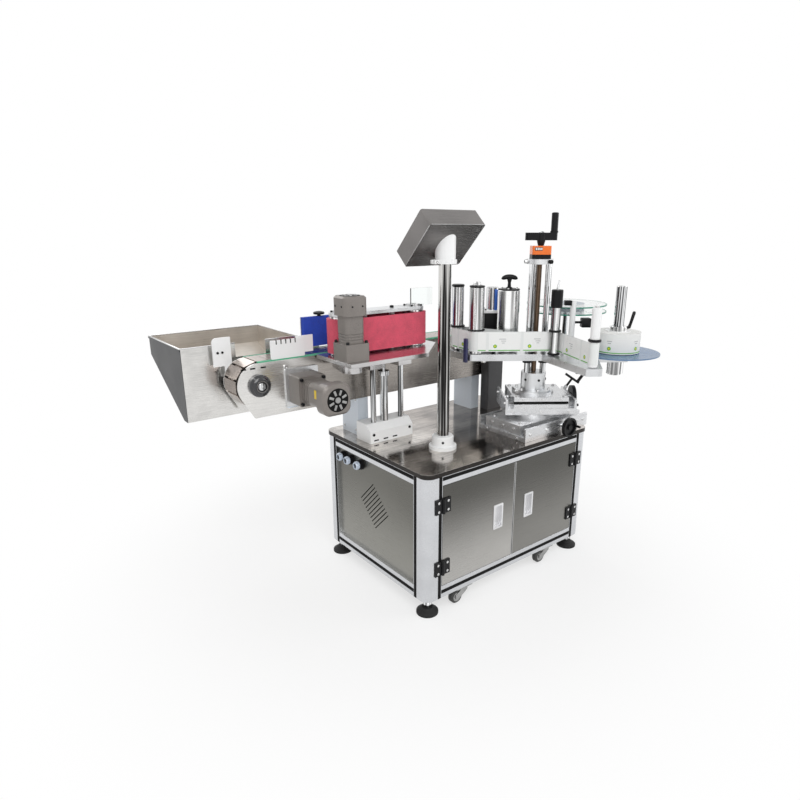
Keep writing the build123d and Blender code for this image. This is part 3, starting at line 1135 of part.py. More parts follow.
    u0 = UPPER_U0 + UPPER_END + UPPER_CARRIAGE_MARGIN
    u1 = UPPER_U1 - UPPER_END - UPPER_CARRIAGE_MARGIN
    carriage = block(u0, u1, -UPPER_HALF_V, UPPER_HALF_V, UPPER_TOP + AIR, FLANGE_Z)
    for v in ways:
        v1 = v + UPPER_WAY_WIDTH
        groove = outline(
            (v + lean - 2 * AIR, UPPER_TOP), (v1 - lean + 2 * AIR, UPPER_TOP), (v1 + 2 * AIR, way_top + AIR),
            (v - 2 * AIR, way_top + AIR))
        carriage -= plate_yz(groove, u0, u1)
    groove_z = (UPPER_TOP + FLANGE_Z - UPPER_GROOVE_HEIGHT) / 2
    inner_v = UPPER_HALF_V - UPPER_GROOVE_DEPTH
    for v0, v1 in ((-UPPER_HALF_V, -inner_v), (inner_v, UPPER_HALF_V)):
        carriage -= block(u0, u1, v0, v1, groove_z, groove_z + UPPER_GROOVE_HEIGHT)
    carriage -= rod_x(u0, u1, 0, screw_z, UPPER_SCREW_RADIUS + AIR)
    add_head("upper_carriage", carriage)

    wheel_u = UPPER_U1 + UPPER_WHEEL_REACH
    screw = rod_x(UPPER_U0, wheel_u, 0, screw_z, UPPER_SCREW_RADIUS)
    wheel = handwheel(UPPER_WHEEL_RADIUS, UPPER_WHEEL_WIDTH, UPPER_SCREW_RADIUS * 1.6)
    screw += Pos(wheel_u - UPPER_WHEEL_WIDTH, 0, screw_z) * Rot(0, 90, 0) * wheel
    add_head("upper_handwheel", screw)
    pivot_head("upper_handwheel", wheel_u, 0, screw_z)

    shaft_low = CLAMP_BOSS_FLOOR + AIR
    shaft_top = CLAMP_CRANK_LENGTH + CLAMP_CRANK_ARM_HEIGHT / 2
    crank = rod(0, 0, shaft_low, shaft_top, CLAMP_CRANK_SHAFT)
    arm = Box(CLAMP_CRANK_ARM, CLAMP_CRANK_ARM_WIDTH, CLAMP_CRANK_ARM_HEIGHT)
    crank += Pos(0, 0, CLAMP_CRANK_LENGTH) * arm
    handle_u = CLAMP_CRANK_ARM / 2 - CLAMP_CRANK_HANDLE_RADIUS
    handle_top = CLAMP_CRANK_LENGTH + CLAMP_CRANK_HANDLE
    crank += rod(handle_u, 0, CLAMP_CRANK_LENGTH, handle_top, CLAMP_CRANK_HANDLE_RADIUS)
    add_head("clamp_crank", lay * crank)
    pivot_head("clamp_crank", crank_u, CLAMP_CRANK_V, crank_z)


def post_places():
    """Centres of the three pillar posts in the head's frame."""
    return [(POST_CIRCLE * cos(radians(a)), POST_CIRCLE * sin(radians(a))) for a in (210, 330, 90)]


def make_pillar():
    """Flanged collar, posts, top clamp, position counter and the lift screw with its crank."""
    collar = rod(0, 0, FLANGE_Z, FLANGE_Z + FLANGE_HEIGHT, FLANGE_RADIUS)
    collar = chamfer(collar.edges().filter_by(GeomType.CIRCLE).group_by(Axis.Z)[-1], FLANGE_HEIGHT * 0.4)
    collar += rod(0, 0, FLANGE_Z + FLANGE_HEIGHT, COLLAR_TOP, COLLAR_RADIUS)
    add_head("pillar", collar)
    add_head("pillar", *[rod(u, v, COLLAR_TOP, POST_TOP, POST_RADIUS) for u, v in post_places()])

    clamp = rod(0, 0, POST_TOP, COUNTER_Z, TOP_CLAMP_RADIUS)
    clamp -= rod(0, 0, POST_TOP, COUNTER_Z, LIFT_SCREW_RADIUS + RUN_FIT)
    add_head("pillar", clamp)
    counter_top = COUNTER_Z + COUNTER_BASE + COUNTER_HEIGHT
    half_y = COUNTER_Y / 2
    counter = block(-COUNTER_X / 2, COUNTER_X / 2, -half_y, half_y, COUNTER_Z, counter_top)
    counter = rounded(counter, Axis.Z, COUNTER_ROUND)
    base_top = COUNTER_Z + COUNTER_BASE
    counter -= block(-COUNTER_X, COUNTER_X, -half_y, -half_y + COUNTER_STEP, COUNTER_Z, base_top)
    counter -= rod(0, 0, COUNTER_Z, counter_top, LIFT_SCREW_RADIUS + AIR)
    add_head("position_counter", counter)

    hub_z = counter_top + LIFT_HUB_GAP
    screw = rod(0, 0, COLLAR_TOP + LIFT_HUB_GAP, hub_z, LIFT_SCREW_RADIUS)
    hub_top = hub_z + LIFT_HUB_HEIGHT
    arm_z = hub_top - LIFT_ARM_HEIGHT
    cone = Plane.XZ * outline((0, hub_z), (LIFT_HUB_RADIUS * 0.7, hub_z), (LIFT_HUB_RADIUS, arm_z),
                              (LIFT_HUB_RADIUS, hub_top), (0, hub_top))
    screw += revolve(cone, Axis.Z)
    end_u = LIFT_ARM_REACH - LIFT_ARM_WIDTH / 2
    ends = [(-end_u, 0, LIFT_ARM_WIDTH / 2, 1), (end_u, 0, LIFT_ARM_WIDTH / 2, 1)]
    screw += plate_xy(loop_face(ends, 0), arm_z, hub_top)
    screw += rod(end_u, 0, hub_top, hub_top + LIFT_HANDLE_HEIGHT, LIFT_HANDLE_RADIUS)
    add_head("lift_crank", screw)
    pivot_head("lift_crank", 0, 0, hub_z)


def web_roller(name, size):
    """Idle roller with its spindle in the head plate."""
    u, v, radius, height = size
    low = HEAD_TOP + ROLLER_GAP
    roller = rod(u, v, low, HEAD_TOP + height, radius)
    rims = roller.edges().filter_by(GeomType.CIRCLE)
    roller = chamfer(rims, ROLLER_CHAMFER)
    roller += rod(u, v, PLATE_Z, low, ROLLER_SPINDLE)
    add_head(name, roller)
    pivot_head(name, u, v, low)


def make_label_head():
    """Head plate with everything that leads the label strip."""
    turn_u, turn_v = TURN_ROLLER[:2]
    arm_end = SUPPLY_U + SUPPLY_ARM_HALF
    arm_back = SUPPLY_V + SUPPLY_ARM_HALF
    arm_front = SUPPLY_V - SUPPLY_ARM_HALF
    plan = outline(
        (PLATE_BEVEL_U, PLATE_V0), (PLATE_U0, PLATE_BEVEL_V), (PLATE_U0, PLATE_V1), (PLATE_BACK_U0, PLATE_V1),
        (PLATE_BACK_U0, PLATE_BACK_V), (PLATE_BACK_U1, PLATE_BACK_V), (PLATE_BACK_U1, arm_back),
        (arm_end, arm_back), (arm_end, arm_front),
        (PLATE_U1 + SUPPLY_ARM_HALF, arm_front), (turn_u + ARM_TIP_HALF, turn_v - ARM_TIP_HALF),
        (turn_u - ARM_TIP_HALF, turn_v - ARM_TIP_HALF), (SLIM_ROLLER[0] - SLIM_EDGE, PLATE_V0))
    plan = fillet(plan.vertices(), PLATE_ROUND)
    plate = plate_xy(plan, PLATE_Z, HEAD_TOP)
    for u, v in post_places():
        plate -= rod(u, v, PLATE_Z, HEAD_TOP, POST_RADIUS + RUN_FIT)
    plate -= rod(0, 0, PLATE_Z, HEAD_TOP, LIFT_SCREW_RADIUS + AIR)
    for u, v, _, _ in (CORNER_ROLLER, GUIDE_ROLLER, SLIM_ROLLER, TURN_ROLLER, FEED_ROLLER):
        plate -= rod(u, v, PLATE_Z, HEAD_TOP, ROLLER_SPINDLE + RUN_FIT)
    plate -= rod(SUPPLY_U, SUPPLY_V, PLATE_Z, HEAD_TOP, SUPPLY_SPINDLE + RUN_FIT)
    plate -= rod(REWIND_U, REWIND_V, PLATE_Z, HEAD_TOP, REWIND_SPINDLE + RUN_FIT)
    add_head("head_plate", plate)

    web_roller("corner_roller", CORNER_ROLLER)
    web_roller("guide_roller", GUIDE_ROLLER)
    web_roller("slim_roller", SLIM_ROLLER)
    web_roller("turn_roller", TURN_ROLLER)
    web_roller("feed_roller", FEED_ROLLER)

    half = FEED_MOTOR_SIZE / 2
    body_top = HEAD_TOP + FEED_MOTOR_HEIGHT
    motor = rounded(block(FEED_MOTOR_U - half, FEED_MOTOR_U + half, FEED_MOTOR_V - half, FEED_MOTOR_V + half,
                          HEAD_TOP, body_top), Axis.Z, FEED_MOTOR_ROUND)
    motor += rod(FEED_MOTOR_U, FEED_MOTOR_V, body_top, body_top + FEED_CYLINDER_HEIGHT, FEED_CYLINDER_RADIUS)
    add_head("head_motors", motor)

    disc_z = HEAD_TOP + SUPPLY_GAP
    disc_top = disc_z + SUPPLY_DISC
    spool = rod(SUPPLY_U, SUPPLY_V, disc_z, disc_top, SUPPLY_DISC_RADIUS)
    spool += rod(SUPPLY_U, SUPPLY_V, PLATE_Z, disc_z, SUPPLY_SPINDLE)
    spool += rod(SUPPLY_U, SUPPLY_V, disc_top, SUPPLY_MANDREL_TOP, SUPPLY_MANDREL)
    roll_low = WEB_Z
    roll_top = roll_low + WEB_WIDTH
    spool += rod(SUPPLY_U, SUPPLY_V, disc_top, roll_low, ROLL_SEAT_RADIUS)
    spool += rod(SUPPLY_U, SUPPLY_V, roll_low, roll_top, ROLL_CORE)
    add_head("supply_spool", spool)
    pivot_head("supply_spool", SUPPLY_U, SUPPLY_V, disc_z)
    roll = rod(SUPPLY_U, SUPPLY_V, roll_low, roll_top, ROLL_RADIUS)
    roll -= rod(SUPPLY_U, SUPPLY_V, roll_low, roll_top, ROLL_CORE + AIR)
    add_head("label_roll", roll)
    brake = rod(SUPPLY_U, SUPPLY_V, PLATE_Z - BRAKE_HEIGHT, PLATE_Z, BRAKE_RADIUS)
    brake = chamfer(brake.edges().filter_by(GeomType.CIRCLE).group_by(Axis.Z)[0], BRAKE_CHAMFER)
    add_head("head_motors", brake)

    upper_z = REWIND_Z + REWIND_DISC + REWIND_GAP
    rewind = rod(REWIND_U, REWIND_V, REWIND_Z, REWIND_Z + REWIND_DISC, REWIND_DISC_RADIUS)
    rewind += rod(REWIND_U, REWIND_V, upper_z, upper_z + REWIND_DISC, REWIND_DISC_RADIUS)
    rewind += rod(REWIND_U, REWIND_V, REWIND_Z + REWIND_DISC, upper_z, REWIND_CORE)
    rewind += rod(REWIND_U, REWIND_V, PLATE_Z, REWIND_Z, REWIND_SPINDLE)
    add_head("rewinder", rewind)
    pivot_head("rewinder", REWIND_U, REWIND_V, REWIND_Z)

    path = [(SUPPLY_U, SUPPLY_V, ROLL_RADIUS, 1)]
    rollers = (TURN_ROLLER, SLIM_ROLLER, GUIDE_ROLLER, CORNER_ROLLER, FEED_ROLLER)
    for (u, v, radius, _), turn in zip(rollers, (-1, 1, -1, -1, 1)):
        path.append((u, v, radius, turn))
    add_head("label_web", plate_xy(web_face(path, AIR, WEB_THICKNESS), WEB_Z, WEB_Z + WEB_WIDTH))


def make_driver_box():
    """Closed electrical box on the table behind the slides."""
    box = rounded(block(BOX_X0, BOX_X1, BOX_Y0, BOX_Y1, TABLE_TOP, TABLE_TOP + BOX_HEIGHT), Axis.Z, BOX_ROUND)
    add("driver_box", box)


def write_all():
    """Centre the machine on its own box and write one file for each piece."""
    boxes = [solid.bounding_box() for solids in NODES.values() for solid in solids]
    low = [min(values) for values in zip(*[tuple(box.min) for box in boxes])]
    high = [max(values) for values in zip(*[tuple(box.max) for box in boxes])]
    shift = Pos(-(low[0] + high[0]) / 2, -(low[1] + high[1]) / 2, -low[2])
    print("shift", *[round(value, 3) for value in tuple(shift.position)])
    for name, (x, y, z) in PIVOTS.items():
        place = (shift * Pos(x, y, z)).position
        print("pivot", name, round(place.X, 3), round(place.Y, 3), round(place.Z, 3))
    for name, solids in NODES.items():
        moved = [shift * solid for solid in solids]
        piece = moved[0] if len(moved) == 1 else Compound(children=moved)
        export_step(piece, "parts/" + name + ".step")
    print("pieces", len(NODES), "size", [round(b - a, 2) for a, b in zip(low, high)])


make_cabinet()
make_doors()
make_casters()
make_operator_panel()
make_conveyor()
make_guides_and_bin()
make_wrap_station()
make_slides()
make_pillar()
make_label_head()
make_driver_box()
write_all()
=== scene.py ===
"""Looks of a bottle labelling machine: its finishes, small fittings and the studio around it.

Sizes are in metres. Places are given about the middle of the cabinet at floor level, or about the pillar
of the label head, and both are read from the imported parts.
"""
from __future__ import annotations

import json
import logging
import math
from abc import ABC, abstractmethod
from dataclasses import dataclass
from enum import Enum
from typing import Any, Iterable, Optional, Sequence, Union

import bmesh
import bpy
from mathutils import Matrix, Vector

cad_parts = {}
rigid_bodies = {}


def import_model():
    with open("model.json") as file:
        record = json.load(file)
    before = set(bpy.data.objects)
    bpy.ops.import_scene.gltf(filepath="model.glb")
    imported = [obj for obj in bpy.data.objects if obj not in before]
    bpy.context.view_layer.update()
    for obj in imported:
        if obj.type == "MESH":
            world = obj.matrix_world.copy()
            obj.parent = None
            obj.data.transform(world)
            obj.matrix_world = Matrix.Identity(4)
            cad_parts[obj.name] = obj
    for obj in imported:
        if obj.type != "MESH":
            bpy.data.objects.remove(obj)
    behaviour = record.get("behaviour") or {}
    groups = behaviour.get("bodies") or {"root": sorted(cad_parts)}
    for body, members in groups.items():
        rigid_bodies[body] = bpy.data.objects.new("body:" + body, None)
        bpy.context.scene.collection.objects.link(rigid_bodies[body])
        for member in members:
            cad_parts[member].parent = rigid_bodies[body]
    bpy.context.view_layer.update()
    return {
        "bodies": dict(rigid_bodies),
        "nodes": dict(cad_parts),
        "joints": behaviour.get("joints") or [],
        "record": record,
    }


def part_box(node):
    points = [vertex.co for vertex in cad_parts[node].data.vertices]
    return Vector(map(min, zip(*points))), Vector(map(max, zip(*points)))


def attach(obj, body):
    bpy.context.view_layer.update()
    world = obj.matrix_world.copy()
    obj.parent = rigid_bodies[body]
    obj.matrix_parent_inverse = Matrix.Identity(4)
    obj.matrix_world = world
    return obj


LOG = logging.getLogger("labelling_machine")
Colour = tuple[float, float, float]
Point = tuple[float, float, float]
Pair = tuple[float, float]
Outline = tuple[Pair, ...]
Ring = tuple[float, float, float, float]
Row = tuple[float, ...]
Tree = bpy.types.NodeTree
Socket = bpy.types.NodeSocket

# Directions and sides
LEFT, RIGHT = (-1.0, 0.0, 0.0), (1.0, 0.0, 0.0)
FRONT, BACK = (0.0, -1.0, 0.0), (0.0, 1.0, 0.0)
DOWN, UP = (0.0, 0.0, -1.0), (0.0, 0.0, 1.0)
ACROSS_Y, ACROSS_Z = (1.0, 0.0, 1.0), (1.0, 1.0, 0.0)
SIDES = (-1, 1)
CORNERS = tuple((first, second) for first in SIDES for second in SIDES)

# Values of the materials
COAT_ROUGHNESS = 0.12
LEAST_ROUGHNESS = 0.02
MARK_DETAIL = 3.0
CLOUD_DETAIL = 4.0
TONE_MIDDLE = 0.5
TONE_RANGE = (0.3, 0.7)
SHARP_STEP = 1e-5
MIXED_COLOUR = (0.6, 0.6, 0.6)

# Values of the meshes
BEVEL_STEPS = 2
BEVEL_PROFILE = 0.5
ON_AXIS = 1e-6
SHARP_ANGLE = math.radians(35)
SCREW_SEGMENTS = 18
SCREW_SINK = 0.0004
SOCKET_HEAD: Outline = ((1.0, 0.8), (0.86, 1.0), (0.55, 1.0), (0.5, 0.5), (0.0, 0.45))
SLOT_PROUD = 0.0004
SLOT_DEPTH = 0.001
SLOT_EASE = 0.0003


class Grain(Enum):
    """How a surface is worked, which sets the run of its fine marks."""

    FINE = (1.0, 1.0, 1.0)
    ALONG_X = (0.012, 1.0, 1.0)
    ALONG_Y = (1.0, 0.012, 1.0)
    ALONG_Z = (1.0, 1.0, 0.012)
    TURNED = (0.02, 0.02, 1.0)


def add(tree: Tree, kind: str, inputs: Optional[dict[Union[str, int], Any]] = None,
        **options: str) -> bpy.types.Node:
    """Add a shader node.

    Args:
        tree: Tree that takes the node.
        kind: Kind of node.
        inputs: What each input is set to, or the socket that is linked to it.
        options: Options of the node.

    Returns:
        The node.
    """
    node = tree.nodes.new("ShaderNode" + kind)
    for option, choice in options.items():
        setattr(node, option, choice)
    for socket, value in (inputs or {}).items():
        if isinstance(value, Socket):
            tree.links.new(value, node.inputs[socket])
        else:
            node.inputs[socket].default_value = value
    return node


def surface_place(tree: Tree) -> Socket:
    """Return the socket of a surface point's place."""
    return add(tree, "TexCoord").outputs["Object"]


@dataclass(frozen=True)
class Finish:
    """One surface finish, with its colour, gloss and fine marks.

    Args:
        name: Name of the material.
        colour: Linear base colour.
        roughness: Middle roughness.
        metallic: 1 for bare metal.
        grain: Run of the fine marks.
        grain_size: Spacing of the fine marks.
        relief: Strength of the marks' bump.
        mottle: Share by which the colour varies; where it is high with a narrow step it paints patches and
            streaks of reflection.
        spread: Amount by which the roughness varies.
        cloud_size: Size of the broad patches, faint where the mottle is low.
        coat: Weight of a clear coat.
        transmission: 1 for clear material.
        edge: Radius that broken edges appear to have.
        drawn: True where the broad patches run along the grain too, as painted streaks of reflection.
        specular: Level of the shine on paint and plastic.
        soft: Width of the step between the darker and the lighter tone.
    """

    name: str
    colour: Colour
    roughness: float
    metallic: float = 0.0
    grain: Grain = Grain.FINE
    grain_size: float = 0.0012
    relief: float = 0.06
    mottle: float = 0.08
    spread: float = 0.08
    cloud_size: float = 0.09
    coat: float = 0.0
    transmission: float = 0.0
    edge: float = 0.0
    drawn: bool = False
    specular: float = 0.5
    soft: float = 0.3

    def shader(self, tree: Tree) -> Socket:
        """Add this finish to a node tree.

        Args:
            tree: Tree that takes the nodes.

        Returns:
            The shader socket.
        """
        place = surface_place(tree)
        marks = self._noise(tree, place, self.grain, self.grain_size, MARK_DETAIL)
        tone = self._tone(tree, place, marks)
        bump = add(tree, "Bump", {"Strength": self.relief, "Distance": self.grain_size, "Height": marks})
        if self.edge > 0.0:
            broken = add(tree, "Bevel", {"Radius": self.edge})
            tree.links.new(broken.outputs["Normal"], bump.inputs["Normal"])
        bsdf = add(tree, "BsdfPrincipled", {
            "Metallic": self.metallic, "Coat Weight": self.coat, "Coat Roughness": COAT_ROUGHNESS,
            "Transmission Weight": self.transmission, "Specular IOR Level": self.specular,
            "Base Color": self._tint(tree, tone), "Roughness": self._gloss(tree, tone),
            "Normal": bump.outputs["Normal"]})
        return bsdf.outputs["BSDF"]

    @staticmethod
    def _noise(tree: Tree, place: Socket, grain: Grain, size: float,
               detail: float) -> Socket:
        """Add noise that is drawn out along a grain.

        Args:
            tree: Tree that takes the nodes.
            place: Socket of a surface point's place.
            grain: Run of the noise.
            size: Spacing of the noise across the grain.
            detail: Number of finer levels in it.

        Returns:
            The socket of its strength.
        """
        way = add(tree, "Mapping", {"Vector": place, "Scale": tuple(share / size for share in grain.value)})
        noise = add(tree, "TexNoise", {"Vector": way.outputs["Vector"], "Scale": 1.0, "Detail": detail})
        return noise.outputs["Fac"]

    def _tone(self, tree: Tree, place: Socket,
              marks: Socket) -> Socket:
        """Add the mean of the fine marks and the broad patches.

        Args:
            tree: Tree that takes the nodes.
            place: Socket of a surface point's place.
            marks: Socket of the fine marks.

        Returns:
            The socket of the tone.
        """
        grain = self.grain if self.drawn else Grain.FINE
        clouds = self._noise(tree, place, grain, self.cloud_size, CLOUD_DETAIL)
        both = add(tree, "Math", {0: marks, 1: clouds}, operation="ADD")
        return add(tree, "Math", {0: both.outputs[0], 1: 0.5}, operation="MULTIPLY").outputs[0]

    def _tint(self, tree: Tree, tone: Socket) -> Socket:
        """Add the colour that varies with the tone.

        Args:
            tree: Tree that takes the nodes.
            tone: Socket of the tone.

        Returns:
            The socket of the colour.
        """
        tint = add(tree, "ValToRGB", {"Fac": tone})
        low, high = tint.color_ramp.elements
        low.position, high.position = TONE_MIDDLE - self.soft / 2, TONE_MIDDLE + self.soft / 2
        low.color = (*[channel * (1.0 - self.mottle) for channel in self.colour], 1.0)
        high.color = (*[min(channel * (1.0 + self.mottle), 1.0) for channel in self.colour], 1.0)
        return tint.outputs["Color"]

    def _gloss(self, tree: Tree, tone: Socket) -> Socket:
        """Add the roughness that varies with the tone.

        Args:
            tree: Tree that takes the nodes.
            tone: Socket of the tone.

        Returns:
            The socket of the roughness.
        """
        gloss = add(tree, "MapRange", {
            "Value": tone, "From Min": TONE_RANGE[0], "From Max": TONE_RANGE[1],
            "To Min": max(self.roughness - self.spread, LEAST_ROUGHNESS),
            "To Max": min(self.roughness + self.spread, 1.0)})
        return gloss.outputs["Result"]


@dataclass(frozen=True)
class Beyond:
    """Another finish on the far side of a plane, at once or over a stretch.

    Args:
        finish: Finish that takes over.
        normal: Direction towards the far side.
        level: Place of the plane along the direction.
        stretch: Length over which the finish takes over.
    """

    finish: Finish
    normal: Point
    level: float
    stretch: float = 0.0

    def mask(self, tree: Tree) -> Socket:
        """Add the nodes that tell the far side from the near one.

        Args:
            tree: Tree that takes the nodes.

        Returns:
            A socket that is 1 on the far side.
        """
        reach = add(tree, "VectorMath", {0: surface_place(tree), 1: self.normal}, operation="DOT_PRODUCT")
        end = self.level + max(self.stretch, SHARP_STEP)
        span = {"Value": reach.outputs["Value"], "From Min": self.level, "From Max": end}
        past = add(tree, "MapRange", span, interpolation_type="SMOOTHSTEP")
        return past.outputs["Result"]


@dataclass(frozen=True)
class Outside:
    """Another finish outside a radius about an axis.

    Args:
        finish: Finish that takes over.
        centre: Point on the axis.
        keep: 0 along the axis and 1 across it, for each direction.
        radius: Radius where the finish changes.
    """

    finish: Finish
    centre: Point
    keep: Point
    radius: float

    def mask(self, tree: Tree) -> Socket:
        """Add the nodes that tell the outside from the inside.

        Args:
            tree: Tree that takes the nodes.

        Returns:
            A socket that is 1 outside the radius.
        """
        offset = add(tree, "VectorMath", {0: surface_place(tree), 1: self.centre}, operation="SUBTRACT")
        across = add(tree, "VectorMath", {0: offset.outputs["Vector"], 1: self.keep}, operation="MULTIPLY")
        length = add(tree, "VectorMath", {0: across.outputs["Vector"]}, operation="LENGTH")
        past = add(tree, "Math", {0: length.outputs["Value"], 1: self.radius}, operation="GREATER_THAN")
        return past.outputs[0]


@dataclass(frozen=True)
class Zoned:
    """Finish of a piece that is made of several materials, or of one material with painted light and shade
    in zones.

    Args:
        name: Name of the material.
        base: Finish where no zone holds.
        zones: Zones, each laid over those before it.
    """

    name: str
    base: Finish
    zones: tuple[Union[Beyond, Outside], ...]

    def shader(self, tree: Tree) -> Socket:
        """Add the finishes to a node tree.

        Args:
            tree: Tree that takes the nodes.

        Returns:
            The mixed shader socket.
        """
        result = self.base.shader(tree)
        for zone in self.zones:
            mix = add(tree, "MixShader", {"Fac": zone.mask(tree), 1: result, 2: zone.finish.shader(tree)})
            result = mix.outputs["Shader"]
        return result


Look = Union[Finish, Zoned]
_MADE: dict[str, bpy.types.Material] = {}


def material(look: Look) -> bpy.types.Material:
    """Make the material of a finish once.

    Args:
        look: Finish of the surface.

    Returns:
        The material.
    """
    if look.name not in _MADE:
        made = bpy.data.materials.new(look.name)
        made.use_nodes = True
        made.node_tree.nodes.clear()
        add(made.node_tree, "OutputMaterial", {"Surface": look.shader(made.node_tree)})
        made.diffuse_color = (*getattr(look, "colour", MIXED_COLOUR), 1.0)
        _MADE[look.name] = made
    return _MADE[look.name]


# Finishes, with the values in the order of the fields above

# Bare metal
PROFILE = Finish("anodised_profile", (0.62, 0.63, 0.65), 0.26, 1.0, Grain.FINE, 0.0009, 0.04, 0.06, 0.06,
    0.05, edge=0.0008)
# Door steel in lit and shaded copies: the left door is painted lighter than the right, and the dark copy
# paints shade towards the top.
DOOR_PAINTED_LIT = Finish("brushed_door_painted_lit", (0.47, 0.46, 0.44), 0.3, 1.0, Grain.ALONG_X, 0.0006, 0.04, 0.07,
    0.08, 0.3)
DOOR_PAINTED_HALF_LIT = Finish("brushed_door_painted_half_lit", (0.25, 0.245, 0.23), 0.3, 1.0, Grain.ALONG_X, 0.0006, 0.04,
    0.07, 0.08, 0.3)
DOOR_PAINTED_SHADE = Finish("brushed_door_painted_shade", (0.105, 0.103, 0.095), 0.28, 1.0, Grain.ALONG_X, 0.0006, 0.04, 0.08,
    0.08, 0.3)
SIDE_SHEET = Finish("brushed_side", (0.3, 0.295, 0.27), 0.3, 1.0, Grain.ALONG_Y, 0.0006, 0.04, 0.08, 0.08,
    0.25)
# Painted shade: a darker copy of the side sheet for the upper part of the panels.
SIDE_PAINTED_SHADE = Finish("brushed_side_painted_shade", (0.15, 0.147, 0.132), 0.3, 1.0, Grain.ALONG_Y, 0.0006, 0.04, 0.08,
    0.08, 0.25)
CONVEYOR_SHEET = Finish("conveyor_side", (0.74, 0.73, 0.71), 0.24, 1.0, Grain.ALONG_X, 0.0007, 0.06, 0.12,
    0.08, 0.14, edge=0.0008)
# Painted shade: a darker copy of the conveyor's side sheet for its right part, under the wrap station.
CONVEYOR_SHADE = Finish("conveyor_side_painted_shade", (0.34, 0.315, 0.29), 0.24, 1.0, Grain.ALONG_X, 0.0007, 0.06,
    0.24, 0.08, 0.12, edge=0.0008)
# Painted reflections of the bin: a bright copy of its sheet for the near face and a near-black copy for the
# left face.
BIN_PAINTED_BRIGHT_REFLECTION = Finish("bin_painted_bright_reflection", (0.72, 0.71, 0.69), 0.24, 1.0, Grain.ALONG_X, 0.0008, 0.05, 0.22,
    0.1, 0.09)
BIN_INSIDE = Finish("bin_inside_sheet", (0.64, 0.6, 0.55), 0.34, 0.75, Grain.ALONG_X, 0.0008, 0.06, 0.16,
    0.1, 0.09)
BIN_PAINTED_DARK_REFLECTION = Finish("bin_painted_dark_reflection", (0.024, 0.025, 0.027), 0.34, 1.0, Grain.FINE, 0.0016, 0.06, 0.3, 0.08,
    0.1)
# Polished table: its high mottle in a narrow step paints patches of reflection, and a lighter copy paints
# the reflection on its left part.
TABLE_SHEET = Finish("polished_table", (0.3, 0.272, 0.25), 0.11, 1.0, Grain.ALONG_X, 0.0012, 0.02, 0.5,
    0.06, 0.13, soft=0.16)
TABLE_PAINTED_REFLECTION = Finish("polished_table_painted_reflection", (0.6, 0.57, 0.54), 0.13, 1.0, Grain.ALONG_X, 0.0012, 0.02,
    0.5, 0.06, 0.09, soft=0.2)
# Painted shade: the table's edges below its top face are near black.
TABLE_EDGE_PAINTED_SHADE = Finish("table_edge_painted_shade", (0.035, 0.032, 0.03), 0.24, 1.0, Grain.FINE, 0.001, 0.03, 0.2)
# Hard chrome: the high mottle drawn along Z in a narrow step paints streaks of reflection.
CHROME = Finish("hard_chrome", (0.52, 0.525, 0.53), 0.1, 1.0, Grain.ALONG_Z, 0.004, 0.01, 0.86, 0.04,
    0.006, drawn=True, soft=0.14)
BRIGHT_BOLT = Finish("bright_bolt", (0.66, 0.66, 0.66), 0.2, 1.0, Grain.TURNED, 0.0008, 0.04, 0.1)
# Drawn tube: the near-full mottle drawn along Z in a narrow step paints dark and bright streaks of
# reflection.
TUBE = Finish("drawn_tube", (0.36, 0.355, 0.345), 0.12, 1.0, Grain.ALONG_Z, 0.007, 0.01, 0.95, 0.05, 0.009,
    drawn=True, soft=0.1)
MACHINED = Finish("clear_anodised", (0.66, 0.67, 0.68), 0.3, 1.0, Grain.FINE, 0.001, 0.05, 0.14, 0.08,
    0.06, edge=0.0008)
SLIDE_BODY = Finish("slide_body", (0.68, 0.685, 0.695), 0.27, 0.8, Grain.ALONG_X, 0.0009, 0.05, 0.09, 0.08,
    0.07, edge=0.0014)
PRESS_SHEET = Finish("press_plate_face", (0.58, 0.57, 0.57), 0.22, 1.0, Grain.ALONG_X, 0.0009, 0.03, 0.16,
    0.06, 0.1, edge=0.0009)
# Turned rollers: the high mottle drawn along Z paints bands of reflection.
TURNED = Finish("turned_roller", (0.6, 0.605, 0.61), 0.18, 1.0, Grain.ALONG_Z, 0.008, 0.02, 0.68, 0.06,
    0.014, drawn=True, soft=0.12)
CHAIN_STEEL = Finish("chain_plate", (0.4, 0.35, 0.32), 0.26, 1.0, Grain.ALONG_Y, 0.0008, 0.08, 0.18,
    edge=0.0006)
ZINC_PLATE = Finish("zinc_plate", (0.36, 0.36, 0.355), 0.34, 0.9, Grain.FINE, 0.003, 0.06, 0.18, 0.12,
    0.03, edge=0.0006)
SCREW_BRASS = Finish("lift_screw", (0.125, 0.085, 0.058), 0.34, 1.0, Grain.TURNED, 0.0016, 0.3, 0.2)
PULL_METAL = Finish("bright_pull", (0.74, 0.74, 0.75), 0.32, 0.8, Grain.ALONG_Z, 0.0009, 0.05, 0.1)
DARK_STEEL = Finish("dark_brushed_steel", (0.205, 0.195, 0.19), 0.3, 1.0, Grain.ALONG_X, 0.0008, 0.05,
    0.16, 0.1, 0.12, edge=0.0009)
# Bright sheet for folded door edges and the bin's rim, and for the painted highlight strips along the
# operator panel's edges.
FOLD_EDGE_AND_HIGHLIGHT = Finish("bright_fold_and_painted_highlight", (0.6, 0.6, 0.6), 0.22, 1.0, Grain.FINE, 0.001, 0.04, 0.1)

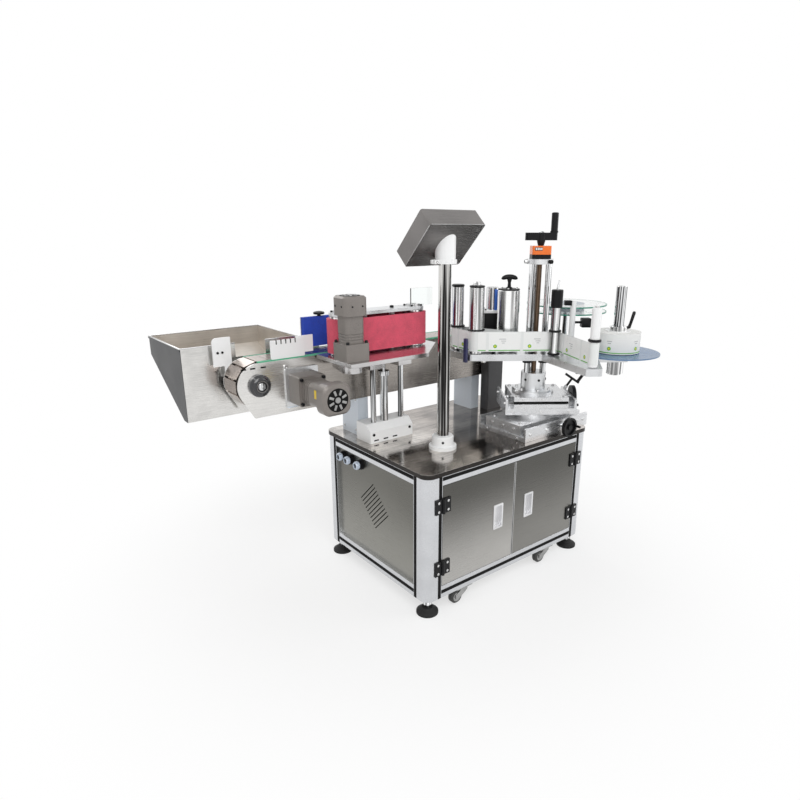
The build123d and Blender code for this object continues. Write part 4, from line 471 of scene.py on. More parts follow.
# Paint, plastic and rubber
PALE_PAINT = Finish("pale_machine_paint", (0.7, 0.76, 0.83), 0.4, 0.0, Grain.FINE, 0.0016, 0.1, 0.05)
WHITE_PAINT = Finish("white_machine_paint", (0.87, 0.875, 0.875), 0.36, 0.0, Grain.FINE, 0.0016, 0.06, 0.03)
MOTOR_PAINT = Finish("motor_paint", (0.215, 0.195, 0.18), 0.36, 0.3, Grain.FINE, 0.002, 0.14, 0.12, 0.1,
    edge=0.001)
BLACK_ZINC = Finish("black_hardware", (0.008, 0.008, 0.009), 0.42, 0.0, Grain.FINE, 0.0014, 0.1, 0.25,
    specular=0.2)
BLACK_PLASTIC = Finish("black_moulding", (0.007, 0.007, 0.008), 0.36, 0.0, Grain.FINE, 0.001, 0.08, 0.25,
    specular=0.18)
BLACK_GLOSS = Finish("black_gloss", (0.014, 0.015, 0.018), 0.16, 0.0, Grain.FINE, 0.002, 0.02, 0.2, 0.04,
    coat=0.6)
RUBBER = Finish("black_rubber", (0.012, 0.012, 0.012), 0.62, 0.0, Grain.FINE, 0.0018, 0.16, 0.2,
    specular=0.3)
GREY_TREAD = Finish("grey_tread", (0.055, 0.055, 0.053), 0.6, 0.0, Grain.FINE, 0.0018, 0.14, 0.2,
    specular=0.3)
WHITE_PLASTIC = Finish("white_moulding", (0.87, 0.875, 0.875), 0.32, 0.0, Grain.FINE, 0.0012, 0.05, 0.03)
PALE_BLUE_CAP = Finish("pale_blue_cap", (0.55, 0.62, 0.72), 0.3, 0.2, Grain.FINE, 0.001, 0.05, 0.1,
    coat=0.3)
WEAR_GREEN = Finish("green_wear_plastic", (0.085, 0.42, 0.24), 0.4, 0.0, Grain.ALONG_X, 0.0014, 0.05, 0.08)
RED_FOAM = Finish("red_foam_belt", (0.64, 0.078, 0.13), 0.58, 0.0, Grain.FINE, 0.003, 0.4, 0.14, 0.1,
    0.03)
BLUE_FOAM = Finish("blue_foam", (0.014, 0.06, 0.45), 0.6, 0.0, Grain.FINE, 0.0035, 0.35, 0.14, 0.1, 0.02)
NYLON = Finish("dark_nylon", (0.05, 0.052, 0.055), 0.44, 0.0, Grain.FINE, 0.0016, 0.08)
ORANGE_CASE = Finish("orange_case", (0.86, 0.17, 0.012), 0.28, 0.0, Grain.FINE, 0.001, 0.05, 0.06,
    coat=0.3, edge=0.0008)
DARK_BOX = Finish("dark_case", (0.055, 0.055, 0.058), 0.4, 0.1, Grain.FINE, 0.0018, 0.14, 0.14,
    edge=0.0009)
# Near black for the rubber slot inserts, and for dark patches that paint the shade in slots, notches,
# grooves and fan openings.
SLOT_INSERT_AND_SHADE = Finish("slot_insert", (0.004, 0.004, 0.004), 0.7, 0.0, Grain.FINE, 0.0016, 0.12, 0.2,
    specular=0.15)
DISC_BLUE = Finish("supply_disc", (0.115, 0.2, 0.34), 0.26, 0.1, Grain.FINE, 0.0014, 0.04, 0.1)
BLUE_MARK = Finish("blue_shield", (0.02, 0.12, 0.52), 0.34, 0.0, Grain.FINE, 0.0012, 0.05, 0.1)
SENSOR_BLUE = Finish("sensor_case", (0.018, 0.02, 0.085), 0.34, 0.0, Grain.FINE, 0.001, 0.06, 0.16,
    coat=0.2)
YELLOW_PLATE = Finish("yellow_plate", (0.8, 0.56, 0.02), 0.42, 0.0, Grain.FINE, 0.0012, 0.04, 0.06)
GLASS_SCREEN = Finish("panel_glass", (0.012, 0.016, 0.022), 0.08, 0.0, Grain.FINE, 0.004, 0.01, 0.2, 0.03,
    coat=0.6)

# Clear sheet, strip and print
ACRYLIC = Finish("clear_acrylic", (0.96, 0.99, 0.98), 0.03, 0.0, Grain.FINE, 0.004, 0.005, 0.01, 0.02,
    transmission=1.0)
ACRYLIC_EDGE = Finish("acrylic_edge", (0.006, 0.23, 0.15), 0.2, 0.0, Grain.FINE, 0.003, 0.03, 0.12)
STRIP = Finish("label_strip", (0.78, 0.8, 0.79), 0.36, 0.0, Grain.ALONG_Z, 0.001, 0.03, 0.04, coat=0.25)
ROLL_SIDE = Finish("wound_strip", (0.8, 0.8, 0.78), 0.5, 0.0, Grain.TURNED, 0.0009, 0.1, 0.05)
WOUND_DARK = Finish("wound_backing", (0.42, 0.46, 0.5), 0.4, 0.0, Grain.TURNED, 0.0009, 0.1, 0.2)
LABEL_PAPER = Finish("label_paper", (0.86, 0.87, 0.86), 0.3, 0.0, Grain.FINE, 0.0016, 0.03, 0.03, coat=0.3)
PRINT_GREEN = Finish("print_green", (0.1, 0.42, 0.05), 0.34, 0.0, Grain.FINE, 0.001, 0.03, 0.1)
PRINT_YELLOW = Finish("print_yellow", (0.8, 0.66, 0.03), 0.34, 0.0, Grain.FINE, 0.001, 0.03, 0.08)
PRINT_GREY = Finish("print_grey", (0.3, 0.31, 0.32), 0.4, 0.0, Grain.FINE, 0.001, 0.03, 0.1)


@dataclass
class Places:
    """Turns places about the cabinet or about the head's pillar into the part's frame.

    Args:
        cabinet: Middle of the cabinet on the floor.
        pillar: Foot of the pillar's axis on the floor.
        yaw: Turn of the label head about the vertical, in radians.
    """

    cabinet: Vector
    pillar: Vector
    yaw: float = math.radians(-37.0)

    @classmethod
    def measured(cls) -> "Places":
        """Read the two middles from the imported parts."""
        table, post = middle("table_top"), middle("pillar")
        return cls(Vector((table.x, table.y, 0.0)), Vector((post.x, post.y, 0.0)))

    def at(self, x: float, y: float, z: float) -> Vector:
        """Return a point given about the cabinet."""
        return self.cabinet + Vector((x, y, z))

    def head(self, u: float, v: float, z: float) -> Vector:
        """Return a point given about the pillar, along and across the head."""
        return self.pillar + self.head_turn() @ Vector((u, v, z))

    def head_turn(self) -> Matrix:
        """Return the head's turn about the vertical."""
        return Matrix.Rotation(self.yaw, 4, "Z")

    def head_place(self, u: float, v: float, z: float, turn: float = 0.0) -> Matrix:
        """Return a placement in the head's frame, turned further about the vertical."""
        return Matrix.Translation(self.head(u, v, z)) @ Matrix.Rotation(self.yaw + turn, 4, "Z")

    def head_way(self, u: float, v: float, w: float) -> Point:
        """Return a direction given in the head's frame."""
        return tuple(self.head_turn() @ Vector((u, v, w)))


def middle(node: str) -> Vector:
    """Return the middle of a node's box."""
    low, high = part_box(node)
    return (low + high) / 2


@dataclass(frozen=True)
class Screw:
    """Size of a screw's head.

    Args:
        radius: Radius of the head.
        height: Height of the head.
    """

    radius: float
    height: float


class Shape:
    """A mesh under construction, made of simple worked solids."""

    def __init__(self) -> None:
        """Start an empty mesh."""
        self.mesh = bmesh.new()

    def slab(self, low: Sequence[float], high: Sequence[float], bevel: float = 0.0,
             place: Matrix = Matrix.Identity(4)) -> "Shape":
        """Add a box with rounded edges.

        Args:
            low: Lowest corner.
            high: Highest corner.
            bevel: Width of the rounded edges.
            place: Placement of the box.

        Returns:
            This shape.
        """
        low, high = Vector(low), Vector(high)
        part = bmesh.new()
        bmesh.ops.create_cube(part, size=1.0)
        bmesh.ops.scale(part, vec=high - low, verts=part.verts)
        bmesh.ops.translate(part, vec=(low + high) / 2, verts=part.verts)
        if bevel > 0.0:
            bmesh.ops.bevel(part, geom=part.edges[:], offset=bevel, segments=BEVEL_STEPS, affect="EDGES",
                            profile=BEVEL_PROFILE)
        return self._take(part, place)

    def lathe(self, profile: Sequence[Pair], place: Matrix = Matrix.Identity(4),
              segments: int = 28) -> "Shape":
        """Add a turned solid, or a turned ring where the outline returns to its first corner.

        Args:
            profile: Radius and height of each corner, from the bottom to the top.
            place: Placement of the solid, whose axis is Z.
            segments: Steps round the axis.

        Returns:
            This shape.
        """
        part = bmesh.new()
        ring_shaped = profile[0] == profile[-1]
        corners = profile[:-1] if ring_shaped else profile
        rings = [self._ring(part, radius, height, segments) for radius, height in corners]
        pairs = list(zip(rings, rings[1:]))
        if ring_shaped:
            pairs.append((rings[-1], rings[0]))
        for below, above in pairs:
            for step in range(segments):
                following = (step + 1) % segments
                quad = [below[step % len(below)], below[following % len(below)],
                        above[following % len(above)], above[step % len(above)]]
                kept = list(dict.fromkeys(quad))
                if len(kept) > 2:
                    part.faces.new(kept)
        if not ring_shaped:
            for ring in (rings[0], rings[-1]):
                if len(ring) > 2:
                    part.faces.new(ring)
        bmesh.ops.recalc_face_normals(part, faces=part.faces)
        return self._take(part, place)

    @staticmethod
    def _ring(part: bmesh.types.BMesh, radius: float, height: float,
              segments: int) -> list[bmesh.types.BMVert]:
        """Add the corners of one level of a turned solid, a single one on the axis.

        Args:
            part: Mesh that takes the corners.
            radius: Radius of the level.
            height: Height of the level.
            segments: Steps round the axis.

        Returns:
            The corners in order.
        """
        if radius < ON_AXIS:
            return [part.verts.new((0.0, 0.0, height))]
        steps = [2 * math.pi * step / segments for step in range(segments)]
        return [part.verts.new((radius * math.cos(a), radius * math.sin(a), height)) for a in steps]

    def bar(self, points: Sequence[Sequence[float]], radii: Sequence[float], segments: int = 16) -> "Shape":
        """Add a round bar that follows points and changes its radius along the way.

        Args:
            points: Middle of the bar at each step.
            radii: Radius at each step.
            segments: Steps round the bar.

        Returns:
            This shape.
        """
        part = bmesh.new()
        middles = [Vector(point) for point in points]
        rings = []
        for step, (at, radius) in enumerate(zip(middles, radii)):
            way = middles[min(step + 1, len(middles) - 1)] - middles[max(step - 1, 0)]
            ring = self._ring(part, radius, 0.0, segments)
            bmesh.ops.transform(part, matrix=toward(way, at), verts=ring)
            rings.append(ring)
        for below, above in zip(rings, rings[1:]):
            for step in range(segments):
                following = (step + 1) % segments
                part.faces.new([below[step], below[following], above[following], above[step]])
        part.faces.new(rings[0])
        part.faces.new(rings[-1])
        bmesh.ops.recalc_face_normals(part, faces=part.faces)
        return self._take(part, Matrix.Identity(4))

    def bolts(self, feet: Iterable[Sequence[float]], way: Sequence[float], screw: Screw) -> "Shape":
        """Add socket screw heads.

        Args:
            feet: Middle of each head's seat.
            way: Direction that the heads face.
            screw: Size of a head.

        Returns:
            This shape.
        """
        outline = [(screw.radius, -SCREW_SINK)]
        outline += [(screw.radius * across, screw.height * up) for across, up in SOCKET_HEAD]
        for foot in feet:
            self.lathe(outline, toward(way, foot), SCREW_SEGMENTS)
        return self

    def _take(self, part: bmesh.types.BMesh, place: Matrix) -> "Shape":
        """Move a worked solid to its place and join it to this mesh.

        Args:
            part: The worked solid.
            place: Its placement.

        Returns:
            This shape.
        """
        bmesh.ops.transform(part, matrix=place, verts=part.verts)
        holder = bpy.data.meshes.new("holder")
        part.to_mesh(holder)
        part.free()
        self.mesh.from_mesh(holder)
        bpy.data.meshes.remove(holder)
        return self

    def finish(self, name: str, look: Look, body: str, slot: str) -> bpy.types.Object:
        """Turn the mesh into a piece that rides on a body.

        Args:
            name: Name of the piece.
            look: Its finish.
            body: Body that carries it.
            slot: Slot of the record that its finish belongs to; it is not used.

        Returns:
            The piece.
        """
        for face in self.mesh.faces:
            face.smooth = True
        for edge in self.mesh.edges:
            edge.smooth = len(edge.link_faces) == 2 and edge.calc_face_angle(0.0) < SHARP_ANGLE
        data = bpy.data.meshes.new(name)
        self.mesh.to_mesh(data)
        self.mesh.free()
        data.materials.append(material(look))
        piece = bpy.data.objects.new(name, data)
        bpy.context.scene.collection.objects.link(piece)
        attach(piece, body)
        LOG.info("piece %s on %s", name, body)
        return piece


def toward(direction: Sequence[float], at: Sequence[float]) -> Matrix:
    """Return the placement of a Z axis that points in a direction.

    Args:
        direction: Direction of the axis.
        at: Place of its foot.

    Returns:
        The placement.
    """
    turn = Vector(UP).rotation_difference(Vector(direction)).to_matrix().to_4x4()
    return Matrix.Translation(Vector(at)) @ turn


def collar(inner: float, outer: float, low: float, high: float) -> Outline:
    """Return the turned outline of a ring."""
    return ((inner, low), (outer, low), (outer, high), (inner, high), (inner, low))


def widened(outline: Outline, radius: float, rise: float = 0.0) -> list[Pair]:
    """Return a turned outline whose radii are given in shares of a radius."""
    return [(radius * share, height + rise) for share, height in outline]


def around(angle: float) -> Pair:
    """Return the direction of an angle in degrees."""
    return math.cos(math.radians(angle)), math.sin(math.radians(angle))


@dataclass
class Assembly(ABC):
    """A sub-assembly of the machine.

    Args:
        places: Places of the cabinet and the head.
    """

    places: Places

    @abstractmethod
    def build(self) -> None:
        """Make the pieces of the sub-assembly."""

    def up(self, spot: Point) -> Matrix:
        """Return an upright placement at a spot of the head."""
        return toward(UP, self.places.head(*spot))

    def slot_shade_patches(self, spots: Iterable[float], face: float, half: float, levels: Pair) -> Shape:
        """Make dark patches in a face that looks to the front, painted shade of its slots.

        Args:
            spots: Middles of the slots along the cabinet.
            face: Place of the face across the cabinet.
            half: Half the length of a slot.
            levels: Heights of its lower and upper edge.

        Returns:
            The dark patches.
        """
        shape = Shape()
        for x in spots:
            shape.slab(self.places.at(x - half, face - SLOT_PROUD, levels[0]),
                       self.places.at(x + half, face + SLOT_DEPTH, levels[1]), SLOT_EASE)
        return shape


@dataclass
class CadFinishes:
    """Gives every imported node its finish, with the places where the finish of a node changes."""

    places: Places
    foot_base: float = 0.0201
    door_painted_shade_span: Pair = (0.1, 0.3)
    table_face: float = 0.4637
    table_reflection_span: Pair = (0.0, 0.22)
    stand_top: float = 0.6125
    conveyor_painted_shade_span: Pair = (-0.6, 0.16)
    bin_near: float = 0.263
    bin_left: float = -0.83
    panel_collar: float = 0.507
    press_block_top: float = 0.5241
    pillar_collar: float = 0.6561
    pillar_clamp: float = 1.0149
    counter_base: float = 1.045
    crank_hub: float = 1.0725
    motor_block: float = 0.8492
    brake_top: float = 0.705
    roll_seat: float = 0.7352
    mandrel_foot: float = 0.8032
    reel_low: float = 0.8459
    disc_rim: float = 0.1335
    reel_core: float = 0.0625
    pad_foam: float = 0.0121
    wheel_hub: float = 0.015
    lower_wheel_depth: float = 0.0287
    upper_wheel_depth: float = 0.0315
    casters: int = 4

    def looks(self) -> dict[str, Look]:
        """Return the finish of each node by name."""
        return {**self._cabinet(), **self._conveyor(), **self._station(), **self._slides(), **self._head()}

    def _cabinet(self) -> dict[str, Look]:
        """Choose the finishes of the cabinet, its doors and the operator panel.

        Returns:
            The finish of each node by name.
        """
        # Painted shade: doors and side panels turn darker from 0.1 m above the floor, fully at 0.4 m.
        shade = Beyond(DOOR_PAINTED_SHADE, UP, *self.door_painted_shade_span)
        # Painted reflection: the table top turns lighter left of the cabinet's middle, fully 0.22 m further
        # left.
        light, fade = self.table_reflection_span
        looks: dict[str, Look] = {
            "frame_extrusions": PROFILE,
            "table_top": Zoned("table_look", TABLE_SHEET, (
                Beyond(TABLE_PAINTED_REFLECTION, LEFT, light - self.places.cabinet.x, fade),
                # Painted shade below the table's top face.
                Beyond(TABLE_EDGE_PAINTED_SHADE, DOWN, -self.table_face))),
            # The side panels take a painted shade towards the top, over the same heights as the doors.
            "cover_panels": Zoned("panel_look", SIDE_SHEET, (Beyond(SIDE_PAINTED_SHADE, UP, *self.door_painted_shade_span),)),
            "levelling_feet": Zoned("foot_look", RUBBER, (Beyond(CHROME, UP, self.foot_base),)),
            "hinge_leaves": BLACK_ZINC, "caster_forks": ZINC_PLATE,
            "door_left": Zoned("left_door_look", DOOR_PAINTED_LIT, (shade,)),
            "door_right": Zoned("right_door_look", DOOR_PAINTED_HALF_LIT, (shade,)),
            "door_fittings_left": Zoned("left_fittings", BLACK_ZINC, (
                Beyond(PULL_METAL, RIGHT, middle("door_fittings_left").x),)),
            "door_fittings_right": Zoned("right_fittings", PULL_METAL, (
                Beyond(BLACK_ZINC, RIGHT, middle("door_fittings_right").x),)),
            "hmi_column": Zoned("panel_column", WHITE_PAINT, (Beyond(TUBE, UP, self.panel_collar),)),
            "hmi_clamp": WHITE_PLASTIC, "hmi_housing": DARK_STEEL,
        }
        for number in range(1, self.casters + 1):
            wheel = f"caster_wheel_{number}"
            tread = Outside(GREY_TREAD, tuple(middle(wheel)), ACROSS_Y, self.wheel_hub)
            looks[wheel] = Zoned(wheel + "_look", ZINC_PLATE, (tread,))
        return looks

    def _conveyor(self) -> dict[str, Look]:
        """Choose the finishes of the conveyor and the collecting bin.

        Returns:
            The finish of each node by name.
        """
        cabinet = self.places.cabinet
        start, stretch = self.conveyor_painted_shade_span
        # Painted shade on the side plates from 0.6 m left of the cabinet's middle, fully over 0.16 m to the
        # right.
        painted_shade_right = Beyond(CONVEYOR_SHADE, RIGHT, cabinet.x + start, stretch)
        # Painted reflections: the bin's near face is painted bright, its left face near black.
        near = Beyond(BIN_PAINTED_BRIGHT_REFLECTION, FRONT, -(cabinet.y + self.bin_near))
        left = Beyond(BIN_PAINTED_DARK_REFLECTION, LEFT, -(cabinet.x + self.bin_left))
        return {
            "conveyor_frame": Zoned("conveyor_look", CONVEYOR_SHEET, (painted_shade_right,)), "wear_strips": WEAR_GREEN,
            "conveyor_chain": CHAIN_STEEL, "shaft_bearings": BLACK_GLOSS,
            "conveyor_brackets": Zoned("bracket_look", PALE_PAINT, (Beyond(MACHINED, UP, self.stand_top),)),
            "conveyor_gearmotor": MOTOR_PAINT, "conveyor_drive_belt": RUBBER, "guide_plates": WHITE_PAINT,
            "collecting_bin": Zoned("bin_look", BIN_INSIDE, (near, left)),
            "drive_sprocket": NYLON, "tail_sprocket": NYLON, "motor_pulley": MACHINED,
            "driver_box": DARK_BOX,
        }

    def _station(self) -> dict[str, Look]:
        """Choose the finishes of the wrap station.

        Returns:
            The finish of each node by name.
        """
        pad_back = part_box("backing_pad")[0].y + self.pad_foam
        return {
            "press_stand": Zoned("press_stand_look", WHITE_PAINT, (
                Beyond(CHROME, UP, self.press_block_top),)),
            "backing_pad": Zoned("backing_look", BLUE_FOAM, (Beyond(MACHINED, BACK, pad_back),)),
            "press_plate": PRESS_SHEET, "press_bridge": MACHINED, "press_belt": RED_FOAM,
            "press_gearmotor": MOTOR_PAINT, "press_guard": ACRYLIC, "press_drive_roller": TURNED,
            "press_tail_roller": TURNED,
        }

    def _slides(self) -> dict[str, Look]:
        """Choose the finishes of the cross slides and the pillar.

        Returns:
            The finish of each node by name.
        """
        along = self.places.head_way(*RIGHT)
        corners = [vertex.co for vertex in bpy.data.objects["upper_handwheel"].data.vertices]
        wheel_front = max(Vector(along).dot(corner) for corner in corners)
        lower_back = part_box("lower_handwheel")[0].y + self.lower_wheel_depth
        return {
            "lower_slide_base": SLIDE_BODY, "lower_carriage": SLIDE_BODY, "upper_slide_base": SLIDE_BODY,
            "upper_carriage": SLIDE_BODY, "clamp_crank": BLACK_PLASTIC,
            "lower_handwheel": Zoned("lower_wheel_look", BLACK_PLASTIC, (
                Beyond(CHROME, BACK, lower_back),)),
            "upper_handwheel": Zoned("upper_wheel_look", CHROME, (
                Beyond(BLACK_PLASTIC, along, wheel_front - self.upper_wheel_depth),)),
            "pillar": Zoned("pillar_look", MACHINED, (
                Beyond(CHROME, UP, self.pillar_collar), Beyond(MACHINED, UP, self.pillar_clamp))),
            "position_counter": Zoned("counter_look", BLACK_PLASTIC, (
                Beyond(ORANGE_CASE, UP, self.counter_base),)),
            "lift_crank": Zoned("lift_look", SCREW_BRASS, (Beyond(BLACK_PLASTIC, UP, self.crank_hub),)),
        }

    def _head(self) -> dict[str, Look]:
        """Choose the finishes of the label head.

        Returns:
            The finish of each node by name.
        """
        reel = tuple(middle("rewinder"))
        looks: dict[str, Look] = {
            "head_plate": MACHINED, "label_web": STRIP, "label_roll": ROLL_SIDE,
            "turn_roller": WHITE_PLASTIC,
            "head_motors": Zoned("head_motor_look", TURNED, (
                Beyond(BLACK_PLASTIC, UP, self.brake_top), Beyond(TURNED, UP, self.motor_block))),
            "supply_spool": Zoned("supply_look", DISC_BLUE, (
                Beyond(WHITE_PLASTIC, UP, self.roll_seat), Beyond(CHROME, UP, self.mandrel_foot))),
            "rewinder": Zoned("reel_look", WOUND_DARK, (
                Outside(ACRYLIC, reel, ACROSS_Z, self.reel_core),
                Outside(ACRYLIC_EDGE, reel, ACROSS_Z, self.disc_rim),
                Beyond(CHROME, DOWN, -self.reel_low))),
        }
        for roller in ("feed", "corner", "guide", "slim"):
            looks[roller + "_roller"] = TURNED
        return looks

    def dress(self, nodes: dict[str, bpy.types.Object]) -> None:
        """Give each node its material.

        Args:
            nodes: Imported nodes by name.
        """
        looks = self.looks()
        for name, node in nodes.items():
            made = material(looks[name])
            if not node.material_slots:
                node.data.materials.append(made)
            for holder in node.material_slots:
                holder.material = made
            LOG.info("finish %s: %s", name, looks[name].name)


@dataclass
class CabinetTrim(Assembly):
    """Slot inserts, hinge screws, door edges and sockets of the cabinet."""

    half_x: float = 0.365
    half_y: float = 0.272
    low: float = 0.052
    high: float = 0.461
    column: float = 0.06
    rail: float = 0.04
    slot_from_corner: float = 0.052
    insert_half: float = 0.0055
    insert_depth: float = 0.0003
    insert_proud: float = 0.0007
    hinge_levels: Pair = (0.156, 0.358)
    hinge_gap: float = 0.00075
    screw_rise: float = 0.014
    screw_from_axis: float = 0.018
    hinge_screw: Screw = Screw(0.004, 0.0018)
    leaf: float = 0.004
    door_gap: float = 0.0015
    fold: float = 0.0022
    fold_proud: float = 0.0006
    fold_ease: float = 0.0002
    socket_y: Row = (0.179, 0.134, 0.076)
    socket_z: float = 0.391
    socket_face: float = 0.355
    socket_radius: float = 0.014
    socket_flange: Outline = ((1.25, 0.0), (1.25, 0.003), (1.1, 0.0035), (1.1, 0.011), (0.0, 0.011))
    socket_neck: Outline = ((0.9, 0.0105), (0.9, 0.014))
    socket_rib: Outline = ((0.98, 0.0145), (0.9, 0.016))
    socket_ribs: int = 3
    rib_pitch: float = 0.003
    socket_end: Outline = ((0.78, 0.0245), (0.62, 0.0245), (0.6, 0.019), (0.0, 0.019))
    socket_core: Outline = ((0.55, 0.0185), (0.55, 0.0215), (0.3, 0.0225), (0.0, 0.0225))

    def build(self) -> None:
        """Make all the trim."""
        self._inserts()
        self._hinge_screws()
        self._door_edges()
        self._sockets()

    def _inserts(self) -> None:
        """Black rubber strips over the outer slots of the columns and rails."""
        shape = Shape()
        at, half, deep = self.places.at, self.insert_half, self.insert_depth
        run_x, run_y = self.half_x - self.column, self.half_y - self.column
        slot_x, slot_y = self.half_x - self.slot_from_corner, self.half_y - self.slot_from_corner
        levels = (self.low + self.rail / 2, self.high - self.rail / 2)
        foot, top = self.low + deep, self.high - deep
        for side in SIDES:
            near, far = sorted((side * (self.half_y + self.insert_proud), side * (self.half_y - deep)))
            for level in levels:
                shape.slab(at(-run_x, near, level - half), at(run_x, far, level + half))
            for x in (-slot_x, slot_x):
                shape.slab(at(x - half, near, foot), at(x + half, far, top))
            near, far = sorted((side * (self.half_x + self.insert_proud), side * (self.half_x - deep)))
            for level in levels:
                shape.slab(at(near, -run_y, level - half), at(far, run_y, level + half))
            for y in (-slot_y, slot_y):
                shape.slab(at(near, y - half, foot), at(far, y + half, top))
        shape.finish("slot_inserts", SLOT_INSERT_AND_SHADE, "frame", "black_hardware")

    def _hinge_screws(self) -> None:
        """Pale screws on both leaves of each hinge."""
        axis_x = self.half_x - self.column - self.hinge_gap
        face_y = -self.half_y - self.leaf
        fixed, moving = Shape(), {"left_door": Shape(), "right_door": Shape()}
        for side, door in zip(SIDES, moving):
            for hand, shape in ((1, fixed), (-1, moving[door])):
                x = side * (axis_x + hand * self.screw_from_axis)
                feet = [self.places.at(x, face_y, level + rise * self.screw_rise)
                        for level in self.hinge_levels for rise in SIDES]
                shape.bolts(feet, FRONT, self.hinge_screw)
        fixed.finish("hinge_screws", BRIGHT_BOLT, "frame", "chrome")
        for door, shape in moving.items():
            shape.finish("hinge_screws_" + door, BRIGHT_BOLT, door, "chrome")

    def _door_edges(self) -> None:
        """Bright folds where the doors meet."""
        low, high = self.low + self.rail + self.door_gap, self.high - self.rail - self.door_gap
        for side, door in zip(SIDES, ("left_door", "right_door")):
            inner, outer = sorted((side * self.door_gap, side * (self.door_gap + self.fold)))
            shape = Shape().slab(self.places.at(inner, -self.half_y - self.fold_proud, low),
                                 self.places.at(outer, -self.half_y, high), self.fold_ease)
            shape.finish("door_fold_" + door, FOLD_EDGE_AND_HIGHLIGHT, door, "stainless")

    def _sockets(self) -> None:
        """Round cable sockets with screwed caps on the left panel."""
        flanges, caps = Shape(), Shape()
        r = self.socket_radius
        cap = widened(self.socket_neck, r)
        for rib in range(self.socket_ribs):
            cap += widened(self.socket_rib, r, rib * self.rib_pitch)
        cap += widened(self.socket_end, r)
        for y in self.socket_y:
            place = toward(LEFT, self.places.at(-self.socket_face, y, self.socket_z))
            flanges.lathe(widened(self.socket_flange, r), place)
            caps.lathe(cap, place)
            flanges.lathe(widened(self.socket_core, r), place)
        flanges.finish("socket_flanges", BLACK_ZINC, "frame", "black_hardware")
        caps.finish("socket_caps", PALE_BLUE_CAP, "frame", "chrome")


